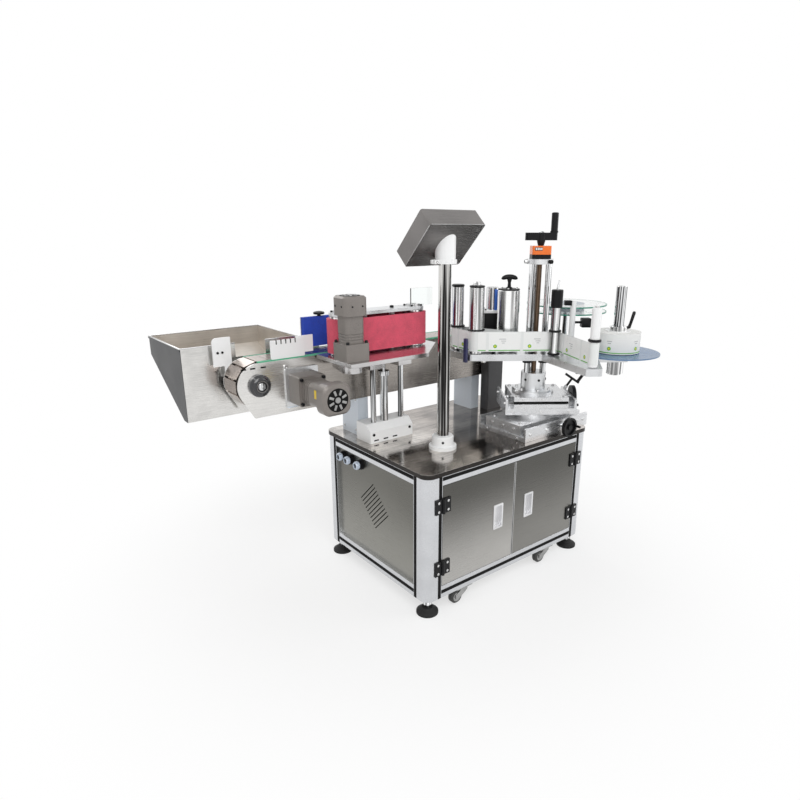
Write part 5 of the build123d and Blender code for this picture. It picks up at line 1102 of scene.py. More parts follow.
@dataclass
class OperatorPanel(Assembly):
    """Glass, bezel and painted highlights along the folded edges of the operator panel, and the lug of its
    clamp.
    """

    x: float = -0.172
    y: float = -0.117
    back_z: float = 1.0783
    tilt: float = 44.0
    width: float = 0.207
    height: float = 0.16
    depth: float = 0.057
    sink: float = 0.0004
    glass: Pair = (0.163, 0.102)
    glass_proud: float = 0.0008
    glass_ease: float = 0.0003
    bezel: float = 0.007
    bezel_proud: float = 0.0016
    bezel_ease: float = 0.0006
    screw_inset: Pair = (0.01, 0.012)
    front_screw: Screw = Screw(0.0035, 0.0018)
    fold: float = 0.0011
    fold_inset: float = 0.004
    fold_ease: float = 0.0003
    clamp_low: float = 1.028
    clamp_ring: float = 0.034
    lug_reach: Pair = (0.013, 0.004)
    lug_half: Pair = (0.002, 0.011)
    lug_height: float = 0.012
    lug_ease: float = 0.001
    bolt_reach: float = 0.0065
    bolt_rise: float = 0.006
    lug_bolt: Screw = Screw(0.004, 0.005)
    base_set_screw: float = 0.49
    base_radius: float = 0.034
    set_screw_angles: Row = (-130.0, -10.0, 110.0)
    set_screw: Screw = Screw(0.004, 0.0012)

    def build(self) -> None:
        """Make the panel's pieces."""
        self._front()
        self._fold_highlights()
        self._clamp()
        self._set_screws()

    def _lay(self) -> Matrix:
        """Return the placement of the housing, with Z towards its front."""
        turn = Matrix.Rotation(math.radians(self.tilt - 90.0), 4, "X")
        return Matrix.Translation(self.places.at(self.x, self.y, self.back_z)) @ turn

    def _front(self) -> None:
        """Dark glass in a raised bezel, with a screw at each corner of the front."""
        lay, face, rim = self._lay(), self.depth, self.bezel
        sunk, proud = face - self.sink, face + self.bezel_proud
        w, h = self.glass[0] / 2, self.glass[1] / 2
        glass = Shape().slab((-w, -h, sunk), (w, h, face + self.glass_proud), self.glass_ease, lay)
        glass.finish("panel_glass", GLASS_SCREEN, "operator_panel", "housing")
        frame = Shape()
        for side in SIDES:
            low, high = sorted((side * h, side * (h + rim)))
            frame.slab((-w - rim, low, sunk), (w + rim, high, proud), self.bezel_ease, lay)
            low, high = sorted((side * w, side * (w + rim)))
            frame.slab((low, -h, sunk), (high, h, proud), self.bezel_ease, lay)
        frame.finish("panel_bezel", BLACK_PLASTIC, "operator_panel", "black_hardware")
        x, y = self.width / 2 - self.screw_inset[0], self.height / 2 - self.screw_inset[1]
        feet = [lay @ Vector((sx * x, sy * y, face)) for sx, sy in CORNERS]
        screws = Shape().bolts(feet, lay.to_3x3() @ Vector(UP), self.front_screw)
        screws.finish("panel_screws", BRIGHT_BOLT, "operator_panel", "chrome")

    def _fold_highlights(self) -> None:
        """Bright strips along the edges of the housing's back and sides, painted highlights on its folds.
        """
        lay, half, ease = self._lay(), self.fold / 2, self.fold_ease
        w, h, inset = self.width / 2, self.height / 2, self.fold_inset
        shape = Shape()
        for side in SIDES:
            for level in (0.0, self.depth):
                shape.slab((-w + inset, side * h - half, level - half),
                           (w - inset, side * h + half, level + half), ease, lay)
                shape.slab((side * w - half, -h + inset, level - half),
                           (side * w + half, h - inset, level + half), ease, lay)
        shape.finish("panel_fold_highlights", FOLD_EDGE_AND_HIGHLIGHT, "operator_panel", "housing")

    def _clamp(self) -> None:
        """Split lug with its bolt on the clamp."""
        lug, (inner, outer) = Shape(), self.lug_half
        left, right = -self.clamp_ring - self.lug_reach[0], -self.clamp_ring + self.lug_reach[1]
        place = Matrix.Translation(self.places.at(self.x, self.y, self.clamp_low))
        for near, far in ((-outer, -inner), (inner, outer)):
            lug.slab((left, near, 0.0), (right, far, self.lug_height), self.lug_ease, place)
        lug.finish("clamp_lug", WHITE_PLASTIC, "operator_panel", "white_plastic")
        foot = self.places.at(self.x - self.clamp_ring - self.bolt_reach, self.y - outer,
                              self.clamp_low + self.bolt_rise)
        bolt = Shape().bolts([foot], FRONT, self.lug_bolt)
        bolt.finish("clamp_bolt", BRIGHT_BOLT, "operator_panel", "chrome")

    def _set_screws(self) -> None:
        """Set screws in the column's foot."""
        screws = Shape()
        for angle in self.set_screw_angles:
            x, y = around(angle)
            seat = self.places.at(self.x + x * self.base_radius, self.y + y * self.base_radius,
                                  self.base_set_screw)
            screws.bolts([seat], (x, y, 0.0), self.set_screw)
        screws.finish("column_set_screws", BLACK_ZINC, "frame", "black_hardware")


@dataclass
class FanGrille:
    """Dark disc that paints the shade in a motor cap's fan opening, with pale petals over it."""

    size: float
    lay: Matrix
    name: str
    body: str
    opening: Outline = ((0.0, -0.0003), (0.375, -0.0003), (0.375, 0.0006), (0.36, 0.0009), (0.0, 0.0009))
    opening_steps: int = 48
    hub: Outline = ((0.0, 0.0006), (0.1, 0.0006), (0.09, 0.0022), (0.0, 0.0022))
    petals: int = 8
    petal_span: Pair = (0.16, 0.33)
    petal_half: float = 0.04
    petal_ease: float = 0.008
    petal_levels: Pair = (0.0006, 0.002)

    def build(self) -> None:
        """Make the painted shade of the opening, and the petals."""
        dark = Shape().lathe(widened(self.opening, self.size), self.lay, self.opening_steps)
        dark.finish(self.name + "_fan_opening_shade", SLOT_INSERT_AND_SHADE, self.body, "motor")
        pale = Shape().lathe(widened(self.hub, self.size), self.lay)
        inner, outer = (self.size * share for share in self.petal_span)
        half, (low, high) = self.size * self.petal_half, self.petal_levels
        for step in range(self.petals):
            turn = self.lay @ Matrix.Rotation(2 * math.pi * (step + 0.5) / self.petals, 4, "Z")
            pale.slab((inner, -half, low), (outer, half, high), self.size * self.petal_ease, turn)
        pale.finish(self.name + "_fan_petals", ZINC_PLATE, self.body, "motor")


@dataclass
class ConveyorTrim(Assembly):
    """Bearing covers, shaft ends, bolts and motor fittings of the conveyor."""

    shafts: tuple[tuple[str, float], ...] = (("drive_shaft", -0.656), ("tail_shaft", 0.2965))
    shaft_z: float = 0.69035
    near: float = 0.138
    far: float = 0.242
    bearing: float = 0.014
    cover: Outline = ((0.0145, -0.0003), (0.027, -0.0003), (0.0262, 0.003), (0.0225, 0.0055),
                      (0.019, 0.0062), (0.0145, 0.0045), (0.0145, -0.0003))
    cover_steps: int = 40
    cover_ring: Ring = (0.0152, 0.0176, 0.004, 0.0072)
    shaft_end: Outline = ((0.012, -0.0002), (0.012, 0.005), (0.0105, 0.0065), (0.0045, 0.0065),
                          (0.0035, 0.004), (0.0, 0.004))
    turned_steps: int = 32
    bars: int = 4
    bar_span: Pair = (-0.5703, 0.2108)
    bar_z: float = 0.7337
    bar_bolt: Screw = Screw(0.0065, 0.005)
    nose_slot_shades: Row = (-0.7, -0.672, -0.64)
    nose_slot_half: float = 0.008
    nose_slot_z: Pair = (0.74, 0.7445)
    motor: Pair = (-0.52, 0.668)
    motor_face: float = 0.132
    motor_size: float = 0.09
    gearbox: float = 0.062
    case_inset: float = 0.0085
    case_screw: Screw = Screw(0.0052, 0.0075)
    can_share: float = 0.79
    plate_half: float = 0.0006
    plate_y: Pair = (-0.0285, -0.002)
    plate_z: Pair = (0.664, 0.689)
    plate_ease: float = 0.0003
    motor_length: float = 0.202
    guide_x: Pair = (-0.594, -0.533)
    guide_notch_shades: int = 5
    guide_top: float = 0.815
    guide_y: float = 0.139
    notch_half: float = 0.0016
    notch_proud: float = 0.0004
    notch_back: float = 0.0044
    notch_depth: float = 0.012
    notch_ease: float = 0.0002
    stop_x: Pair = (-0.731, -0.717)
    stop_face: float = 0.242
    stop_z: float = 0.779
    stop_screw: Screw = Screw(0.0035, 0.003)
    stand_x: float = -0.318
    stand_y: Pair = (0.154, 0.226)
    stand_z: Pair = (0.482, 0.585)
    stand_screw: Screw = Screw(0.004, 0.0025)
    rim_low: Point = (-0.8332, 0.2618, 0.799)
    rim_high: Pair = (-0.4598, 0.5602)
    bin_notch: Pair = (-0.669, -0.572)
    rim_width: float = 0.0044
    rim_drop: float = 0.0022
    rim_proud: float = 0.0008
    rim_ease: float = 0.0005

    def build(self) -> None:
        """Make the conveyor's small pieces."""
        self._bearings()
        self._plate_bolts()
        self._motor()
        self._guide()
        self._stand_screws()
        self._bin_rim()

    def _bearings(self) -> None:
        """Domed black covers with bright rings, and the turned ends of the shafts."""
        covers, rings = Shape(), Shape()
        for body, x in self.shafts:
            ends = Shape()
            for face, way in ((self.near - self.bearing, FRONT), (self.far + self.bearing, BACK)):
                place = toward(way, self.places.at(x, face, self.shaft_z))
                covers.lathe(self.cover, place, self.cover_steps)
                rings.lathe(collar(*self.cover_ring), place, self.turned_steps)
                ends.lathe(self.shaft_end, place, self.turned_steps)
            ends.finish("shaft_ends_" + body, CHROME, body, "chrome")
        covers.finish("bearing_covers", BLACK_GLOSS, "frame", "bearing")
        rings.finish("bearing_rings", DARK_STEEL, "frame", "chrome")

    def _plate_bolts(self) -> None:
        """Bolts through the side plates into the cross bars, and dark patches that paint the shade of the
        slots in the nose.
        """
        first, last = self.bar_span
        spots = [first + (last - first) * step / (self.bars - 1) for step in range(self.bars)]
        bolts = Shape()
        for face, way in ((self.near, FRONT), (self.far, BACK)):
            bolts.bolts([self.places.at(x, face, self.bar_z) for x in spots], way, self.bar_bolt)
        bolts.finish("cross_bar_bolts", BRIGHT_BOLT, "frame", "chrome")
        slots = self.slot_shade_patches(self.nose_slot_shades, self.near, self.nose_slot_half, self.nose_slot_z)
        slots.finish("nose_slot_shades", SLOT_INSERT_AND_SHADE, "frame", "black_hardware")

    def _motor(self) -> None:
        """Case screws, bare plate and painted shade of the fan slots of the conveyor's gearmotor."""
        at, (x, z) = self.places.at, self.motor
        half, seat = self.motor_size / 2 - self.case_inset, self.motor_face - self.gearbox
        feet = [at(x + sx * half, seat, z + sz * half) for sx, sz in CORNERS]
        screws = Shape().bolts(feet, FRONT, self.case_screw)
        screws.finish("gearbox_screws", BLACK_ZINC, "frame", "black_hardware")
        plate_x = x - self.motor_size * self.can_share / 2
        (near, far), (low, high) = self.plate_y, self.plate_z
        plate = Shape().slab(at(plate_x - self.plate_half, near, low),
                             at(plate_x + self.plate_half, far, high), self.plate_ease)
        plate.finish("motor_plate", YELLOW_PLATE, "frame", "motor")
        cap = at(x, self.motor_face - self.motor_length, z)
        lay = Matrix.Translation(cap) @ Matrix.Rotation(math.pi / 2, 4, "X")
        FanGrille(self.motor_size, lay, "conveyor_motor", "frame").build()

    def _guide(self) -> None:
        """Dark patches along the guide's upper edge that paint the shade of its notches, and the screws of
        the end stop.
        """
        notches = Shape()
        first, last = self.guide_x
        half, proud, near, top = self.notch_half, self.notch_proud, self.guide_y, self.guide_top
        for step in range(self.guide_notch_shades):
            x = first + (last - first) * step / (self.guide_notch_shades - 1)
            notches.slab(self.places.at(x - half, near - proud, top - self.notch_depth),
                         self.places.at(x + half, near + self.notch_back, top + proud), self.notch_ease)
        notches.finish("guide_notch_shades", SLOT_INSERT_AND_SHADE, "frame", "guide")
        feet = [self.places.at(x, self.stop_face, self.stop_z) for x in self.stop_x]
        stop = Shape().bolts(feet, FRONT, self.stop_screw)
        stop.finish("stop_screws", BLACK_ZINC, "frame", "black_hardware")

    def _stand_screws(self) -> None:
        """Screws at the corners of the left stand's panel."""
        feet = [self.places.at(self.stand_x, y, z) for y in self.stand_y for z in self.stand_z]
        screws = Shape().bolts(feet, LEFT, self.stand_screw)
        screws.finish("stand_screws", BRIGHT_BOLT, "frame", "chrome")

    def _bin_rim(self) -> None:
        """Bright folded rim along the bin's upper edge."""
        (x0, y0, top), (x1, y1) = self.rim_low, self.rim_high
        at, rim, ease = self.places.at, self.rim_width, self.rim_ease
        low, high = top - self.rim_drop, top + self.rim_proud
        shape = Shape()
        first, last = self.bin_notch
        for left, right, y in ((x0, first, y0), (last, x1, y0), (x0, x1, y1 - rim)):
            shape.slab(at(left, y, low), at(right, y + rim, high), ease)
        for x in (x0, x1 - rim):
            shape.slab(at(x, y0 + rim, low), at(x + rim, y1 - rim, high), ease)
        shape.finish("bin_rim", FOLD_EDGE_AND_HIGHLIGHT, "frame", "stainless")


@dataclass
class WrapStation(Assembly):
    """Bolts, bearings and knobs of the belt unit and of the backing pad."""

    rollers: Pair = (-0.405, -0.13)
    roller_y: float = 0.088
    bridge_top: float = 0.887
    bearing: Ring = (0.0092, 0.021, -0.0003, 0.006)
    bearing_steps: int = 36
    ring_screws: Row = (45.0, 135.0, 225.0, 315.0)
    ring_circle: float = 0.027
    ring_screw: Screw = Screw(0.004, 0.004)
    bridge_x: Pair = (-0.32, -0.215)
    bridge_screw: Screw = Screw(0.0065, 0.006)
    motor: Pair = (-0.425, 0.002)
    motor_size: float = 0.078
    plate_top: float = 0.76
    gearbox: float = 0.05
    case_inset: float = 0.0075
    case_screw: Screw = Screw(0.0048, 0.007)
    cap_screw_z: float = 0.916
    cap_screw_half: float = 0.017
    cap_screw: Screw = Screw(0.0026, 0.0014)
    motor_height: float = 0.184
    knob: Point = (-0.393, 0.2385, 0.859)
    knob_outline: Outline = ((0.006, -0.0003), (0.006, 0.004), (0.017, 0.0055), (0.0185, 0.009),
                             (0.0165, 0.0125), (0.009, 0.0145), (0.0, 0.015))
    block_front: float = 0.046
    block_slot_shades: Row = (-0.312, -0.275, -0.238)
    block_slot_half: float = 0.009
    block_slot_z: Pair = (0.4705, 0.475)
    block_x: Pair = (-0.322, -0.178)
    block_z: float = 0.4925
    block_screw: Screw = Screw(0.0045, 0.003)
    clamp_x: Pair = (-0.3, -0.19)
    clamp_half: float = 0.016
    clamp_front: float = 0.052
    clamp_z: float = 0.726
    clamp_screw: Screw = Screw(0.005, 0.005)

    def build(self) -> None:
        """Make the station's small pieces."""
        self._bridge()
        self._motor()
        self._pad_knob()
        self._stand()

    def _bridge(self) -> None:
        """Bearing rings and screws on the bridge."""
        rings, screws = Shape(), Shape()
        at, y, top = self.places.at, self.roller_y, self.bridge_top
        circle = [[self.ring_circle * share for share in around(angle)] for angle in self.ring_screws]
        for x in self.rollers:
            rings.lathe(collar(*self.bearing), toward(UP, at(x, y, top)), self.bearing_steps)
            screws.bolts([at(x + dx, y + dy, top) for dx, dy in circle], UP, self.ring_screw)
        screws.bolts([at(x, y, top) for x in self.bridge_x], UP, self.bridge_screw)
        rings.finish("bridge_bearings", BRIGHT_BOLT, "press_unit", "chrome")
        screws.finish("bridge_screws", BLACK_ZINC, "press_unit", "black_hardware")

    def _motor(self) -> None:
        """Case and cap screws and painted shade of the fan slots of the belt's gearmotor."""
        at, (x, y) = self.places.at, self.motor
        half, seat = self.motor_size / 2 - self.case_inset, self.plate_top + self.gearbox
        face, level = self.motor_size / 2, self.cap_screw_z
        screws = Shape().bolts([at(x + sx * half, y + sy * half, seat) for sx, sy in CORNERS], UP,
                               self.case_screw)
        for side in SIDES:
            offset = side * self.cap_screw_half
            screws.bolts([at(x + offset, y - face, level)], FRONT, self.cap_screw)
            screws.bolts([at(x - face, y + offset, level)], LEFT, self.cap_screw)
        screws.finish("press_motor_screws", BLACK_ZINC, "press_unit", "black_hardware")
        lay = Matrix.Translation(at(x, y, self.plate_top + self.motor_height))
        FanGrille(self.motor_size, lay, "press_motor", "press_unit").build()

    def _pad_knob(self) -> None:
        """Round hand knob on top of the backing pad."""
        knob = Shape().lathe(self.knob_outline, toward(UP, self.places.at(*self.knob)), self.bearing_steps)
        knob.finish("pad_knob", BLACK_PLASTIC, "backing", "black_hardware")

    def _stand(self) -> None:
        """Dark patches that paint the shade of slots along the block's foot, and screws of the post clamps
        and the block.
        """
        slots = self.slot_shade_patches(self.block_slot_shades, self.block_front, self.block_slot_half, self.block_slot_z)
        slots.finish("block_slot_shades", SLOT_INSERT_AND_SHADE, "frame", "black_hardware")
        feet = [self.places.at(x + side * self.clamp_half, self.clamp_front, self.clamp_z)
                for x in self.clamp_x for side in SIDES]
        clamps = Shape().bolts(feet, FRONT, self.clamp_screw)
        clamps.finish("post_clamp_screws", BLACK_ZINC, "press_unit", "black_hardware")
        feet = [self.places.at(x, self.block_front, self.block_z) for x in self.block_x]
        block = Shape().bolts(feet, FRONT, self.block_screw)
        block.finish("block_screws", BLACK_ZINC, "frame", "black_hardware")


@dataclass
class SlideTrim(Assembly):
    """Screws of the cross slides and of the pillar's flange."""

    lower_front: float = -0.253
    lower_end_x: Row = (0.086, 0.168, 0.324, 0.36)
    lower_end_z: float = 0.487
    end_screw: Screw = Screw(0.0055, 0.0035)
    lower_left: float = 0.062
    lower_side_y: Pair = (-0.215, -0.078)
    lower_side_z: float = 0.471
    lower_side_screw: Screw = Screw(0.0042, 0.0025)
    carriage_top: float = 0.512
    carriage_x: Pair = (0.088, 0.356)
    carriage_y: Pair = (-0.205, -0.088)
    carriage_screw: Screw = Screw(0.0062, 0.0035)
    carriage_left: float = 0.068
    carriage_side_y: Row = (-0.195, -0.146, -0.098)
    carriage_side_z: float = 0.497
    carriage_side_screw: Screw = Screw(0.0045, 0.0025)
    upper_half: float = 0.092
    upper_ends: Pair = (-0.108, 0.132)
    upper_left_v: Pair = (-0.074, 0.074)
    upper_right_v: Pair = (-0.076, -0.054)
    upper_end_z: float = 0.563
    upper_bed_u: Row = (-0.085, 0.012, 0.108)
    upper_bed_z: float = 0.537
    upper_bed_screw: Screw = Screw(0.0048, 0.0028)
    upper_top: float = 0.586
    upper_top_u: Pair = (-0.067, 0.091)
    upper_top_v: float = 0.078
    upper_top_screw: Screw = Screw(0.006, 0.0035)
    upper_side_u: Row = (-0.05, 0.014, 0.078)
    upper_side_z: float = 0.5795
    upper_side_screw: Screw = Screw(0.0036, 0.0022)
    groove_shade_inset: Pair = (0.0082, 0.006)
    groove_shade_u: Pair = (-0.08, 0.104)
    groove_shade_z: Pair = (0.5625, 0.5715)
    groove_shade_ease: float = 0.0004
    flange_top: float = 0.598
    flange_circle: float = 0.056
    flange_angles: Row = (35, 95, 155, 215, 275, 335)
    flange_screw: Screw = Screw(0.0048, 0.005)
    collar_radius: float = 0.042
    collar_angles: Row = (-140, -75, -20)
    collar_screw_z: float = 0.632
    collar_screw: Screw = Screw(0.0042, 0.0016)

    def build(self) -> None:
        """Make the screws of each slide."""
        self._lower()
        self._upper_bed()
        self._upper_carriage()
        self._flange()

    def _lower(self) -> None:
        """Screws in the lower bed and in its carriage."""
        at = self.places.at
        bed = Shape().bolts([at(x, self.lower_front, self.lower_end_z) for x in self.lower_end_x], FRONT,
                            self.end_screw)
        bed.bolts([at(self.lower_left, y, self.lower_side_z) for y in self.lower_side_y], LEFT,
                  self.lower_side_screw)
        bed.finish("lower_bed_screws", BRIGHT_BOLT, "frame", "chrome")
        feet = [at(x, y, self.carriage_top) for x in self.carriage_x for y in self.carriage_y]
        top = Shape().bolts(feet, UP, self.carriage_screw)
        top.bolts([at(self.carriage_left, y, self.carriage_side_z) for y in self.carriage_side_y], LEFT,
                  self.carriage_side_screw)
        top.finish("lower_carriage_screws", BRIGHT_BOLT, "lower_slide", "chrome")

    def _upper_bed(self) -> None:
        """Screws in the ends and the near face of the upper bed."""
        head, way = self.places.head, self.places.head_way
        left, right = self.upper_ends
        bed = Shape().bolts([head(left, v, self.upper_end_z) for v in self.upper_left_v], way(*LEFT),
                            self.end_screw)
        bed.bolts([head(right, v, self.upper_end_z) for v in self.upper_right_v], way(*RIGHT),
                  self.end_screw)
        bed.bolts([head(u, -self.upper_half, self.upper_bed_z) for u in self.upper_bed_u], way(*FRONT),
                  self.upper_bed_screw)
        bed.finish("upper_bed_screws", BRIGHT_BOLT, "swivel", "chrome")

    def _upper_carriage(self) -> None:
        """Screws in the upper carriage, and dark strips in its grooves that paint their shade."""
        head, v = self.places.head, self.upper_top_v
        feet = [head(u, side * v, self.upper_top) for u in self.upper_top_u for side in SIDES]
        top = Shape().bolts(feet, UP, self.upper_top_screw)
        top.bolts([head(u, -self.upper_half, self.upper_side_z) for u in self.upper_side_u],
                  self.places.head_way(*FRONT), self.upper_side_screw)
        top.finish("upper_carriage_screws", BRIGHT_BOLT, "upper_slide", "chrome")
        # Painted shade: near-black strips in the carriage's grooves.
        liner, place = Shape(), self.places.head_place(0.0, 0.0, 0.0)
        (left, right), (low, high) = self.groove_shade_u, self.groove_shade_z
        for side in SIDES:
            near, far = sorted(side * (self.upper_half - inset) for inset in self.groove_shade_inset)
            liner.slab((left, near, low), (right, far, high), self.groove_shade_ease, place)
        liner.finish("slide_groove_painted_shade", SLOT_INSERT_AND_SHADE, "upper_slide", "black_hardware")

    def _flange(self) -> None:
        """Screws in the pillar's flange and set screws in its collar."""
        r, c = self.flange_circle, self.collar_radius
        feet = [self.places.head(r * du, r * dv, self.flange_top)
                for du, dv in map(around, self.flange_angles)]
        screws = Shape().bolts(feet, UP, self.flange_screw)
        screws.finish("flange_screws", BRIGHT_BOLT, "upper_slide", "chrome")
        set_screws = Shape()
        for du, dv in map(around, self.collar_angles):
            set_screws.bolts([self.places.head(c * du, c * dv, self.collar_screw_z)],
                             self.places.head_way(du, dv, 0.0), self.collar_screw)
        set_screws.finish("collar_set_screws", BLACK_ZINC, "upper_slide", "black_hardware")


@dataclass
class PillarTrim(Assembly):
    """Clamp bolts, counter window and crank fittings on the pillar, and bushes under the head."""

    clamp_radius: float = 0.043
    clamp_z: float = 1.023
    black_angles: Row = (-55.0, 120.0)
    bright_angles: Row = (-170.0,)
    clamp_bolt: Screw = Screw(0.0068, 0.01)
    counter_front: float = -0.025
    window_low: Point = (-0.024, -0.0005, 1.0575)
    window_high: Point = (0.001, 0.001, 1.0675)
    window_ease: float = 0.0003
    wheels: int = 4
    wheel_first: float = -0.0215
    wheel_pitch: float = 0.0058
    wheel_width: float = 0.004
    wheel_z: Pair = (1.0595, 1.0655)
    wheel_ease: float = 0.0002
    hub_top: float = 1.113
    hub_cap: Outline = ((0.0085, -0.0004), (0.0085, 0.0025), (0.007, 0.004), (0.0, 0.0042))
    hub_steps: int = 24
    crank_reach: float = 0.041
    handle_top: float = 1.173
    foot_ring: Outline = ((0.01, -0.0004), (0.0128, -0.0004), (0.0128, 0.005), (0.01, 0.0062),
                          (0.01, -0.0004))
    handle_end: Outline = ((0.0108, -0.0004), (0.00946, 0.0012), (0.0055, 0.0022), (0.0, 0.0024))
    turned_steps: int = 32
    bush: Ring = (0.0104, 0.016, 0.69, 0.7048)
    post_circle: float = 0.031
    post_angles: Row = (210, 330, 90)

    def build(self) -> None:
        """Make the pillar's small pieces."""
        self._clamp_bolts("clamp_bolts", BLACK_ZINC, "black_hardware", self.black_angles)
        self._clamp_bolts("clamp_bolt_bright", BRIGHT_BOLT, "chrome", self.bright_angles)
        self._counter()
        self._crank()
        self._bushes()

    def _clamp_bolts(self, name: str, look: Look, slot: str, angles: Iterable[float]) -> None:
        """Make bolts round the top clamp.

        Args:
            name: Name of the piece.
            look: Its finish.
            slot: Slot of its finish.
            angles: Angles of the bolts in degrees.
        """
        shape, r = Shape(), self.clamp_radius
        for du, dv in map(around, angles):
            shape.bolts([self.places.head(r * du, r * dv, self.clamp_z)], self.places.head_way(du, dv, 0.0),
                        self.clamp_bolt)
        shape.finish(name, look, "upper_slide", slot)

    def _counter(self) -> None:
        """Dark window with pale number wheels in the counter's front."""
        place = self.places.head_place(0.0, self.counter_front, 0.0)
        window = Shape().slab(self.window_low, self.window_high, self.window_ease, place)
        window.finish("counter_window", BLACK_GLOSS, "upper_slide", "counter")
        wheels, (low, high) = Shape(), self.wheel_z
        for step in range(self.wheels):
            u = self.wheel_first + step * self.wheel_pitch
            wheels.slab((u, 2 * self.window_low[1], low), (u + self.wheel_width, 0.0, high),
                        self.wheel_ease, place)
        wheels.finish("counter_wheels", WHITE_PLASTIC, "upper_slide", "counter")

    def _crank(self) -> None:
        """Bright cap of the hub, and the handle's foot ring and rounded end."""
        cap = Shape().lathe(self.hub_cap, self.up((0.0, 0.0, self.hub_top)), self.hub_steps)
        cap.finish("crank_cap", CHROME, "lift_screw", "chrome")
        rings = Shape()
        for outline, level in ((self.foot_ring, self.hub_top), (self.handle_end, self.handle_top)):
            rings.lathe(outline, self.up((self.crank_reach, 0.0, level)), self.turned_steps)
        rings.finish("crank_handle_rings", BLACK_PLASTIC, "lift_screw", "crank")

    def _bushes(self) -> None:
        """Black bushes under the head plate, one round each post, which also paint the shade in the band
        under the plate.
        """
        shape, r = Shape(), self.post_circle
        for du, dv in map(around, self.post_angles):
            shape.lathe(collar(*self.bush), self.up((r * du, r * dv, 0.0)), self.turned_steps)
        shape.finish("post_bushes_and_painted_shade", BLACK_PLASTIC, "label_head", "black_hardware")


